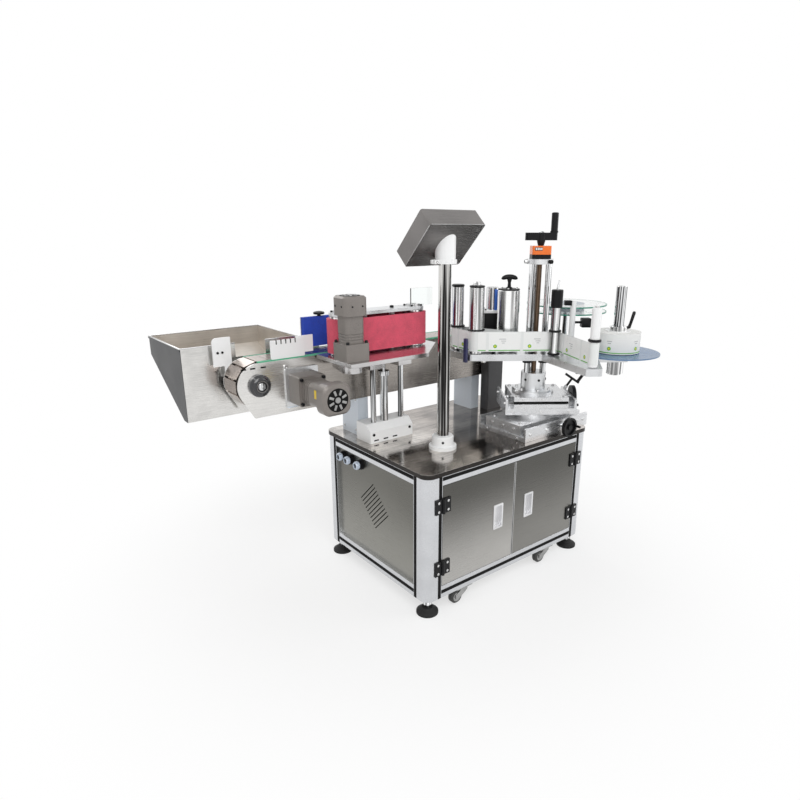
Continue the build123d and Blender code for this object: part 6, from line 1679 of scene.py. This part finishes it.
@dataclass
class HeadTrim(Assembly):
    """Knobs, collars, sensors and caps of the label head."""

    corner: Point = (-0.262, 0.04, 0.94)
    guide: Point = (-0.208, -0.042, 0.945)
    slim: Point = (0.044, -0.081, 0.935)
    turn: Point = (0.115, -0.27, 0.905)
    feed: Point = (-0.097, 0.0, 0.931)
    supply: Point = (0.258, -0.06, 0.803)
    plate_top: float = 0.727
    plate_low: float = 0.705
    web_low: float = 0.737
    web_top: float = 0.803
    feed_cap: Outline = ((0.0355, -0.0004), (0.0355, 0.0035), (0.0335, 0.005), (0.012, 0.005),
                         (0.01, 0.0085), (0.006, 0.011), (0.005, 0.024), (0.0085, 0.036),
                         (0.0085, 0.044), (0.0, 0.045))
    cap_steps: int = 36
    grip_half: float = 0.0265
    grip_rise: float = 0.043
    grip_drop: float = 0.007
    grip_radius: float = 0.0078
    grip_taper: float = 0.93
    grip_end: float = 0.02
    grip_steps: int = 12
    cap_screws: int = 6
    cap_screw_angle: float = 15.0
    cap_circle: float = 0.0285
    cap_screw_rise: float = 0.005
    cap_screw: Screw = Screw(0.0036, 0.0032)
    corner_cap: Outline = ((0.0195, -0.0004), (0.0215, 0.0008), (0.0215, 0.0045), (0.019, 0.007),
                           (0.0, 0.0074))
    guide_cap: Outline = ((0.0225, -0.0004), (0.025, 0.0005), (0.025, 0.004), (0.016, 0.006),
                          (0.0125, 0.0064))
    guide_knob: Outline = ((0.0125, 0.0055), (0.0125, 0.015), (0.011, 0.017), (0.0, 0.0172))
    slim_sleeve: Ring = (0.0149, 0.0185, -0.052, 0.0015)
    sleeve_end: Outline = ((0.0186, 0.001), (0.017, 0.0045), (0.006, 0.005), (0.0, 0.0052))
    stem_lean: float = 0.004
    stem_span: Pair = (0.004, 0.03)
    stem_radii: Row = (0.0042, 0.0034, 0.0022)
    turn_pin: Outline = ((0.006, -0.0004), (0.006, 0.004), (0.0045, 0.0052), (0.0, 0.0052))
    turned_steps: int = 32
    pin_steps: int = 24
    edge_collars: tuple[tuple[str, float, float, float], ...] = (
        ("slim", 0.0149, 0.001, 0.008), ("turn", 0.0139, 0.002, 0.01), ("corner", 0.0199, 0.001, 0.008),
        ("guide", 0.0239, 0.001, 0.006))
    slim_foot: Pair = (0.0022, 0.001)
    collar_width: float = 0.0055
    collar_ease: float = 0.0022
    motor: Point = (-0.141, 0.072, 0.849)
    adapter_half: float = 0.0305
    adapter_high: float = 0.01
    adapter_ease: float = 0.0015
    shield_low: Point = (0.005, -0.0265, 0.0095)
    shield_high: Point = (0.0175, -0.015, 0.079)
    shield_ease: float = 0.0012
    adapter_screw_half: float = 0.025
    adapter_screw: Screw = Screw(0.0034, 0.0034)
    motor_top: float = 0.931
    motor_cap: Outline = ((0.0205, -0.0004), (0.0205, 0.003), (0.018, 0.0044), (0.006, 0.0044),
                          (0.0, 0.003))
    roll_hub: Ring = (0.0169, 0.04, -0.0003, 0.0026)
    roll_clamp: Outline = ((0.0169, 0.0022), (0.028, 0.0022), (0.028, 0.015), (0.0265, 0.0165),
                           (0.0169, 0.0165), (0.0169, 0.0022))
    mandrel_steps: int = 40
    lever: Outline = ((0.0265, 0.0105), (0.036, 0.0125), (0.04, 0.026), (0.048, 0.06),
                      (0.049, 0.064))
    lever_radii: Row = (0.005, 0.0058, 0.0048, 0.0055, 0.003)
    mandrel_top: float = 0.947
    mandrel_end: Outline = ((0.0168, -0.0004), (0.016, 0.0016), (0.006, 0.0018), (0.0, 0.0006))
    post: Point = (0.112, -0.032, 0.9)
    post_radii: Point = (0.0095, 0.008, 0.0135)
    post_ease: float = 0.002
    post_foot: Pair = (0.009, 0.008)
    sensor_u: Pair = (-0.03, -0.007)
    sensor_half: float = 0.009
    sensor_drop: float = 0.016
    sensor_ease: float = 0.0015
    box_low: Point = (0.03, -0.014, 0.812)
    box_high: Point = (0.06, 0.014, 0.842)
    box_ease: float = 0.002
    arm_u: Pair = (0.005, 0.034)
    arm_z: float = 0.828
    arm_radius: float = 0.004
    arm_steps: int = 14
    gap_sensor: Pair = (-0.2428, -0.0579)
    gap_run: Pair = (-0.55, 0.835)
    gap_low: Point = (-0.007, -0.005, 0.7)
    gap_high: Point = (0.007, 0.005, 0.78)
    gap_arm: Pair = (0.017, 0.0135)
    gap_arm_z: float = 0.714
    gap_arm_radius: float = 0.0052
    plate_screws: tuple[Pair, ...] = ((-0.262, 0.004), (-0.15, -0.046), (-0.02, -0.05), (-0.052, 0.142),
                                      (0.168, 0.142))
    plate_screw: Screw = Screw(0.0055, 0.0045)
    turn_nut: Pair = (-0.012, 0.03)
    plate_nuts: tuple[Pair, ...] = ((0.09, -0.215), (0.19, -0.075), (-0.18, -0.04))
    plate_nut: Screw = Screw(0.0085, 0.009)

    def build(self) -> None:
        """Make the head's small pieces."""
        self._feed_knob()
        self._roller_caps()
        self._collars()
        self._feed_motor()
        self._mandrel()
        self._stop_sensor()
        self._gap_sensor()
        self._plate_screws()

    def _feed_knob(self) -> None:
        """Black cap with screws and a T grip on the feed roller."""
        head, (u, v, z) = self.places.head, self.feed
        cap = Shape().lathe(self.feed_cap, self.up(self.feed), self.cap_steps)
        spots, radii = [], []
        for step in range(self.grip_steps + 1):
            offset = self.grip_half * (2 * step / self.grip_steps - 1)
            share = abs(offset) / self.grip_half
            spots.append(head(u + offset, v, z + self.grip_rise - self.grip_drop * share ** 2))
            squared = max(1.0 - share ** 4 * self.grip_taper, self.grip_end)
            radii.append(self.grip_radius * math.sqrt(squared))
        cap.bar(spots, radii)
        cap.finish("feed_knob", BLACK_PLASTIC, "feed", "black_hardware")
        angles = [self.cap_screw_angle + 360 / self.cap_screws * step for step in range(self.cap_screws)]
        feet = [head(u + self.cap_circle * du, v + self.cap_circle * dv, z + self.cap_screw_rise)
                for du, dv in map(around, angles)]
        Shape().bolts(feet, UP, self.cap_screw).finish("feed_cap_screws", BRIGHT_BOLT, "feed", "chrome")

    def _roller_caps(self) -> None:
        """Caps on top of the upright rollers."""
        steps = self.turned_steps
        corner = Shape().lathe(self.corner_cap, self.up(self.corner), steps)
        corner.finish("corner_cap", BLACK_PLASTIC, "corner", "black_hardware")
        guide = Shape().lathe(self.guide_cap, self.up(self.guide), steps)
        guide.finish("guide_cap", BLACK_PLASTIC, "guide", "black_hardware")
        knob = Shape().lathe(self.guide_knob, self.up(self.guide))
        knob.finish("guide_knob", TURNED, "guide", "roller_rubber")
        sleeve = Shape().lathe(collar(*self.slim_sleeve), self.up(self.slim), steps)
        sleeve.lathe(self.sleeve_end, self.up(self.slim), steps)
        sleeve.finish("slim_sleeve", BLACK_PLASTIC, "slim", "black_hardware")
        (u, v, z), (foot, rise) = self.slim, self.stem_span
        stem = Shape().bar([self.places.head(u + self.stem_lean * share, v, z + foot + rise * share)
                            for share in (0.0, 0.5, 1.0)], self.stem_radii)
        stem.finish("slim_stem", CHROME, "slim", "chrome")
        turn = Shape().lathe(self.turn_pin, self.up(self.turn), self.pin_steps)
        turn.finish("turn_pin", BRIGHT_BOLT, "turn", "chrome")

    def _collars(self) -> None:
        """Black edge collars that keep the strip at its height."""
        rollers = {"slim": self.slim, "turn": self.turn, "corner": self.corner, "guide": self.guide}
        for name, inner, bottom, top in self.edge_collars:
            spans = [(self.web_top + bottom, self.web_top + top)]
            if name == "slim":
                spans.append((self.plate_top + self.slim_foot[0], self.web_low - self.slim_foot[1]))
            shape, (u, v, _) = Shape(), rollers[name]
            mid, ease = inner + self.collar_width, self.collar_ease
            for low, high in spans:
                shape.lathe([(inner, low), (mid - ease, low), (mid, low + ease), (mid, high - ease),
                             (mid - ease, high), (inner, high), (inner, low)], self.up((u, v, 0.0)),
                            self.turned_steps)
            shape.finish(name + "_collars", BLACK_PLASTIC, name, "black_hardware")

    def _feed_motor(self) -> None:
        """Adapter plate, shield and cap of the feed motor, with screws at the plate's corners."""
        place, half, high = self.places.head_place(*self.motor), self.adapter_half, self.adapter_high
        slab = Shape().slab((-half, -half, 0.0), (half, half, high), self.adapter_ease, place)
        slab.finish("feed_adapter", WHITE_PLASTIC, "label_head", "white_plastic")
        shield = Shape().slab(self.shield_low, self.shield_high, self.shield_ease, place)
        shield.finish("feed_shield", BLUE_MARK, "label_head", "white_plastic")
        spread = self.adapter_screw_half
        feet = [place @ Vector((sx * spread, sy * spread, high)) for sx, sy in CORNERS]
        screws = Shape().bolts(feet, UP, self.adapter_screw)
        screws.finish("feed_adapter_screws", BLACK_ZINC, "label_head", "black_hardware")
        cap = Shape().lathe(self.motor_cap, self.up((*self.motor[:2], self.motor_top)), self.cap_steps)
        cap.finish("feed_motor_cap", BRIGHT_BOLT, "label_head", "motor")

    def _mandrel(self) -> None:
        """Hub, clamp collar and black lever that hold the roll on its mandrel."""
        place, (u, v, z) = self.up(self.supply), self.supply
        hub = Shape().lathe(collar(*self.roll_hub), place, self.mandrel_steps)
        hub.finish("roll_hub", WHITE_PLASTIC, "supply", "white_plastic")
        clamp = Shape().lathe(self.roll_clamp, place, self.mandrel_steps)
        clamp.finish("roll_clamp", TURNED, "supply", "chrome")
        lever = Shape().bar([self.places.head(u + out, v, z + rise) for out, rise in self.lever],
                            self.lever_radii)
        lever.finish("roll_lever", BLACK_PLASTIC, "supply", "black_hardware")
        top = Shape().lathe(self.mandrel_end, self.up((u, v, self.mandrel_top)), self.turned_steps)
        top.finish("mandrel_end", TURNED, "supply", "chrome")

    def _stop_sensor(self) -> None:
        """White post with a black end sensor and a black box on an arm."""
        (u, v, top), low = self.post, self.plate_top
        (radius, eased, foot_radius), (inner, foot_high) = self.post_radii, self.post_foot
        upright = self.up((u, v, 0.0))
        outline = ((radius, low), (radius, top - self.post_ease), (eased, top), (0.0, top))
        post = Shape().lathe(outline, upright)
        post.lathe(collar(inner, foot_radius, low, low + foot_high), upright)
        post.finish("sensor_post", WHITE_PLASTIC, "label_head", "white_plastic")
        place = self.places.head_place(u, v, 0.0)
        (left, right), half = self.sensor_u, self.sensor_half
        dark = Shape().slab((left, -half, top - self.sensor_drop), (right, half, top), self.sensor_ease,
                            place)
        dark.slab(self.box_low, self.box_high, self.box_ease, place)
        dark.bar([place @ Vector((end, 0.0, self.arm_z)) for end in self.arm_u],
                 (self.arm_radius, self.arm_radius), self.arm_steps)
        dark.finish("end_sensors", BLACK_PLASTIC, "label_head", "black_hardware")

    def _gap_sensor(self) -> None:
        """Fork sensor beside the strip, on an arm under it from the head plate."""
        (u, v), (out, across), level = self.gap_sensor, self.gap_arm, self.gap_arm_z
        place = self.places.head_place(u, v, 0.0, math.atan2(self.gap_run[1], self.gap_run[0]))
        case = Shape().slab(self.gap_low, self.gap_high, self.sensor_ease, place)
        case.finish("gap_sensor", SENSOR_BLUE, "label_head", "black_hardware")
        arm = Shape().bar([self.places.head(u, v, level), self.places.head(u + out, v + across, level)],
                          (self.gap_arm_radius, self.gap_arm_radius))
        arm.finish("gap_sensor_arm", BLACK_ZINC, "label_head", "black_hardware")

    def _plate_screws(self) -> None:
        """Screws in the head plate and nuts under it."""
        head = self.places.head
        feet = [head(u, v, self.plate_top) for u, v in self.plate_screws]
        screws = Shape().bolts(feet, UP, self.plate_screw)
        screws.finish("head_plate_screws", BLACK_ZINC, "label_head", "black_hardware")
        first = (self.turn[0] + self.turn_nut[0], self.turn[1] + self.turn_nut[1])
        feet = [head(u, v, self.plate_low) for u, v in (first, *self.plate_nuts)]
        nuts = Shape().bolts(feet, DOWN, self.plate_nut)
        nuts.finish("head_plate_nuts", BRIGHT_BOLT, "label_head", "chrome")


@dataclass(frozen=True)
class Roll:
    """A round that the label strip runs over.

    Args:
        u: Place along the head.
        v: Place across the head.
        radius: Radius of the round.
        turn: 1 where the strip turns left over it, -1 where it turns right.
    """

    u: float
    v: float
    radius: float
    turn: int


@dataclass
class LabelPrint(Assembly):
    """Labels with plain marks on the printed side of the strip and on the roll."""

    path: tuple[Roll, ...] = (
        Roll(0.258, -0.06, 0.073, 1), Roll(0.115, -0.27, 0.014, -1), Roll(0.044, -0.081, 0.015, 1),
        Roll(-0.208, -0.042, 0.024, -1), Roll(-0.262, 0.04, 0.02, -1))
    air: float = 0.0003
    strip: float = 0.0008
    pitch: float = 0.114
    length: float = 0.104
    low: float = 0.74
    high: float = 0.8005
    paper: float = 0.00022
    ink: float = 0.00012
    sink: float = 0.0001
    line: float = 0.003
    run_margin: float = 0.004
    least: float = 0.012
    shift: float = 0.03
    dot: float = 0.0062
    dot_steps: int = 24
    dot_share: float = 0.8
    dot_rise: float = 0.015
    eye: float = 0.003
    eye_steps: int = 20
    text: tuple[Pair, ...] = ((0.46, 0.022), (0.46, 0.016), (0.5, 0.009))
    text_rise: float = 0.038
    text_pitch: float = 0.0065
    text_high: float = 0.0018
    roll_marks: int = 5
    roll_turn: float = -128.0
    roll_steps: int = 96
    roll_proud: float = 0.0002
    roll_sink: float = 0.0008
    roll_text: Pair = (0.016, 0.011)

    def build(self) -> None:
        """Print every straight run and the roll."""
        self._start()
        for first, second in zip(self.path, self.path[1:]):
            self._run(first, second)
        self.papers.finish("labels", LABEL_PAPER, "label_head", "web")
        self._end("label_print", "label_head", "web")
        self._start()
        self._roll()
        self._end("roll_print", "supply", "roll")

    def _start(self) -> None:
        """Take fresh shapes for the paper and each colour."""
        self.papers, self.greens, self.yellows, self.greys = Shape(), Shape(), Shape(), Shape()

    def _end(self, name: str, body: str, slot: str) -> None:
        """Finish the print of each colour.

        Args:
            name: Start of the pieces' names.
            body: Body that carries the print.
            slot: Slot of its finish.
        """
        self.greens.finish(name + "_green", PRINT_GREEN, body, slot)
        self.yellows.finish(name + "_yellow", PRINT_YELLOW, body, slot)
        self.greys.finish(name + "_grey", PRINT_GREY, body, slot)

    def _face(self, roll: Roll) -> float:
        """Return the radius of the strip's printed side over a round."""
        return roll.radius + self.air + (self.strip if roll.turn < 0 else 0.0)

    def _run(self, first: Roll, second: Roll) -> None:
        """Lay labels along one straight run.

        Args:
            first: Round where the run starts.
            second: Round where it ends.
        """
        du, dv = second.u - first.u, second.v - first.v
        r1, r2 = self._face(first), self._face(second)
        heading = math.atan2(dv, du) - math.asin((second.turn * r2 - first.turn * r1) / math.hypot(du, dv))
        ends = [(roll.u + roll.turn * r * math.sin(heading), roll.v - roll.turn * r * math.cos(heading))
                for roll, r in ((first, r1), (second, r2))]
        span = math.dist(*ends)
        place = self.places.head_place(*ends[0], 0.0, heading)
        start = (span - self.shift) % self.pitch - self.pitch
        while start < span:
            low, high = max(start, self.run_margin), min(start + self.length, span - self.run_margin)
            if high - low > self.least:
                self._label(place, low, high, start)
            start += self.pitch

    def _label(self, place: Matrix, low: float, high: float, start: float) -> None:
        """Add one label, or the part of it that lies on the run, with its marks.

        Args:
            place: Placement of the run.
            low: Start of the part along the run.
            high: End of the part.
            start: Start of the whole label.
        """
        self.papers.slab((low, -self.sink, self.low), (high, self.paper, self.high), 0.0, place)
        face = self.paper + self.ink
        self.greens.slab((low, 0.0, self.low), (high, face, self.low + self.line), 0.0, place)
        dot = start + self.length * self.dot_share
        if low + self.dot < dot < high - self.dot:
            self._dot(place @ Matrix.Translation((dot, self.paper, self.low + self.dot_rise)))
        for step, (offset, size) in enumerate(self.text):
            left = start + self.length * offset
            if low < left and left + size < high:
                level = self.low + self.text_rise - self.text_pitch * step
                self.greys.slab((left, 0.0, level), (left + size, face, level + self.text_high), 0.0, place)

    def _dot(self, place: Matrix) -> None:
        """Add a green dot with a yellow middle.

        Args:
            place: Placement of the face, which looks along +Y.
        """
        lay, ink = place @ Matrix.Rotation(-math.pi / 2, 4, "X"), self.ink
        self.greens.lathe(((0.0, -self.sink), (self.dot, -self.sink), (self.dot, ink), (0.0, ink)), lay,
                          self.dot_steps)
        self.yellows.lathe(((0.0, 0.0), (self.eye, 0.0), (self.eye, 2 * ink), (0.0, 2 * ink)), lay,
                           self.eye_steps)

    def _roll(self) -> None:
        """Green line and plain marks round the wound roll."""
        spool = self.path[0]
        r, proud = spool.radius, self.roll_proud
        line = collar(r - proud, r + self.ink, self.low, self.low + self.line)
        self.greens.lathe(line, self.up((spool.u, spool.v, 0.0)), self.roll_steps)
        for step in range(self.roll_marks):
            turn = math.radians(self.roll_turn + 360.0 * step / self.roll_marks)
            spot = (spool.u + r * math.cos(turn), spool.v + r * math.sin(turn))
            place = self.places.head_place(*spot, self.low, turn - math.pi / 2)
            self._dot(place @ Matrix.Translation((0.0, proud, self.dot_rise)))
            for row, size in enumerate(self.roll_text):
                level = self.text_rise - self.text_pitch * row
                self.greys.slab((-size / 2, -self.roll_sink, level),
                                (size / 2, proud, level + self.text_high), 0.0, place)


@dataclass(frozen=True)
class Lamp:
    """A soft square lamp.

    Args:
        name: Name of the lamp.
        at: Its place about the cabinet.
        aim: Point that it faces.
        size: Side of the square.
        power: Power in watts.
    """

    name: str
    at: Point
    aim: Point
    size: float
    power: float


@dataclass
class Studio(Assembly):
    """Floor, light and camera."""

    eye: Point = (-1.3624, -1.473, 1.1212)
    aim: Point = (0.5954, 0.7484, -0.2919)
    lens: float = 27.26
    sensor: float = 36.0
    shift: Pair = (-0.01875, 0.0185)
    far: float = 50.0
    floor_radius: float = 9.0
    floor_steps: int = 96
    floor_colour: tuple[float, float, float, float] = (0.93, 0.93, 0.93, 1.0)
    fade: Pair = (0.5, 1.3)
    glow: float = 0.6
    ambient: float = 0.65
    lamps: tuple[Lamp, ...] = (
        Lamp("key_light", (-1.6, -2.4, 2.9), (0.0, 0.0, 0.6), 2.2, 58.0),
        Lamp("fill_light", (2.6, -1.9, 1.9), (0.1, 0.0, 0.6), 2.4, 26.0),
        Lamp("back_light", (-0.4, 2.6, 2.8), (0.0, 0.0, 0.7), 2.4, 32.0))

    def build(self) -> None:
        """Set up the whole studio."""
        self._camera()
        self._floor()
        self._world()
        for lamp in self.lamps:
            self._lamp(lamp)
        bpy.context.scene.view_settings.view_transform = "Standard"

    def _camera(self) -> None:
        """Place the camera where the photograph was taken from."""
        data = bpy.data.cameras.new("camera")
        data.lens = self.lens
        data.sensor_width = self.sensor
        data.shift_x, data.shift_y = self.shift
        data.clip_end = self.far
        camera = bpy.data.objects.new("camera", data)
        bpy.context.scene.collection.objects.link(camera)
        camera.location = self.places.at(*self.eye)
        camera.rotation_euler = Vector(self.aim).to_track_quat("-Z", "Y").to_euler()
        bpy.context.scene.camera = camera

    def _floor(self) -> None:
        """Pale floor that fades into the background and keeps the machine's shadow."""
        shape = bmesh.new()
        bmesh.ops.create_circle(shape, cap_ends=True, segments=self.floor_steps, radius=self.floor_radius)
        data = bpy.data.meshes.new("floor")
        shape.to_mesh(data)
        shape.free()
        floor = bpy.data.objects.new("floor", data)
        bpy.context.scene.collection.objects.link(floor)
        data.materials.append(self._floor_paint())

    def _floor_paint(self) -> bpy.types.Material:
        """Make the floor's paint, which turns white away from the machine.

        Returns:
            The material.
        """
        paint = bpy.data.materials.new("floor_paint")
        paint.use_nodes = True
        tree = paint.node_tree
        tree.nodes.clear()
        length = add(tree, "VectorMath", {0: surface_place(tree)}, operation="LENGTH")
        blend = add(tree, "MapRange", {
            "Value": length.outputs["Value"], "From Min": self.fade[0], "From Max": self.fade[1],
            "To Min": self.glow}, interpolation_type="SMOOTHSTEP")
        share = add(tree, "Math", {0: blend.outputs["Result"], 1: self._seen_rays(tree)},
                    operation="MULTIPLY")
        matt = add(tree, "BsdfDiffuse", {"Color": self.floor_colour})
        white = add(tree, "Emission", {"Strength": 1.0})
        mix = add(tree, "MixShader", {"Fac": share.outputs[0], 1: matt.outputs["BSDF"],
                                      2: white.outputs["Emission"]})
        add(tree, "OutputMaterial", {"Surface": mix.outputs["Shader"]})
        return paint

    @staticmethod
    def _seen_rays(tree: Tree) -> Socket:
        """Add the nodes that pick out rays that show the background.

        Args:
            tree: Tree that takes the nodes.

        Returns:
            A socket that is 1 for these rays.
        """
        path = add(tree, "LightPath")
        total = path.outputs["Is Camera Ray"]
        for ray in ("Is Glossy Ray", "Is Transmission Ray"):
            total = add(tree, "Math", {0: total, 1: path.outputs[ray]}, operation="MAXIMUM").outputs[0]
        return total

    def _world(self) -> None:
        """White background, with a plain dim light for everything else."""
        world = bpy.data.worlds.new("studio")
        bpy.context.scene.world = world
        world.use_nodes = True
        tree = world.node_tree
        tree.nodes.clear()
        white = add(tree, "Background", {"Color": (1.0, 1.0, 1.0, 1.0)})
        dim = add(tree, "Background", {"Strength": self.ambient})
        mix = add(tree, "MixShader", {"Fac": self._seen_rays(tree), 1: dim.outputs["Background"],
                                      2: white.outputs["Background"]})
        add(tree, "OutputWorld", {"Surface": mix.outputs["Shader"]})

    def _lamp(self, lamp: Lamp) -> None:
        """Add a lamp to the scene.

        Args:
            lamp: The lamp's place, size and power.
        """
        data = bpy.data.lights.new(lamp.name, "AREA")
        data.size = lamp.size
        data.energy = lamp.power
        light = bpy.data.objects.new(lamp.name, data)
        bpy.context.scene.collection.objects.link(light)
        light.location = self.places.at(*lamp.at)
        light.rotation_euler = (Vector(lamp.aim) - Vector(lamp.at)).to_track_quat("-Z", "Y").to_euler()


ASSEMBLIES: tuple[type[Assembly], ...] = (
    CabinetTrim, OperatorPanel, ConveyorTrim, WrapStation, SlideTrim, PillarTrim, HeadTrim, LabelPrint,
    Studio)


def main() -> None:
    """Load the machine, dress it and set up the studio."""
    logging.basicConfig(level=logging.INFO, format="%(name)s: %(message)s")
    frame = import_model()
    places = Places.measured()
    CadFinishes(places).dress(frame["nodes"])
    for assembly in ASSEMBLIES:
        assembly(places).build()


if __name__ == "__main__":
    main()
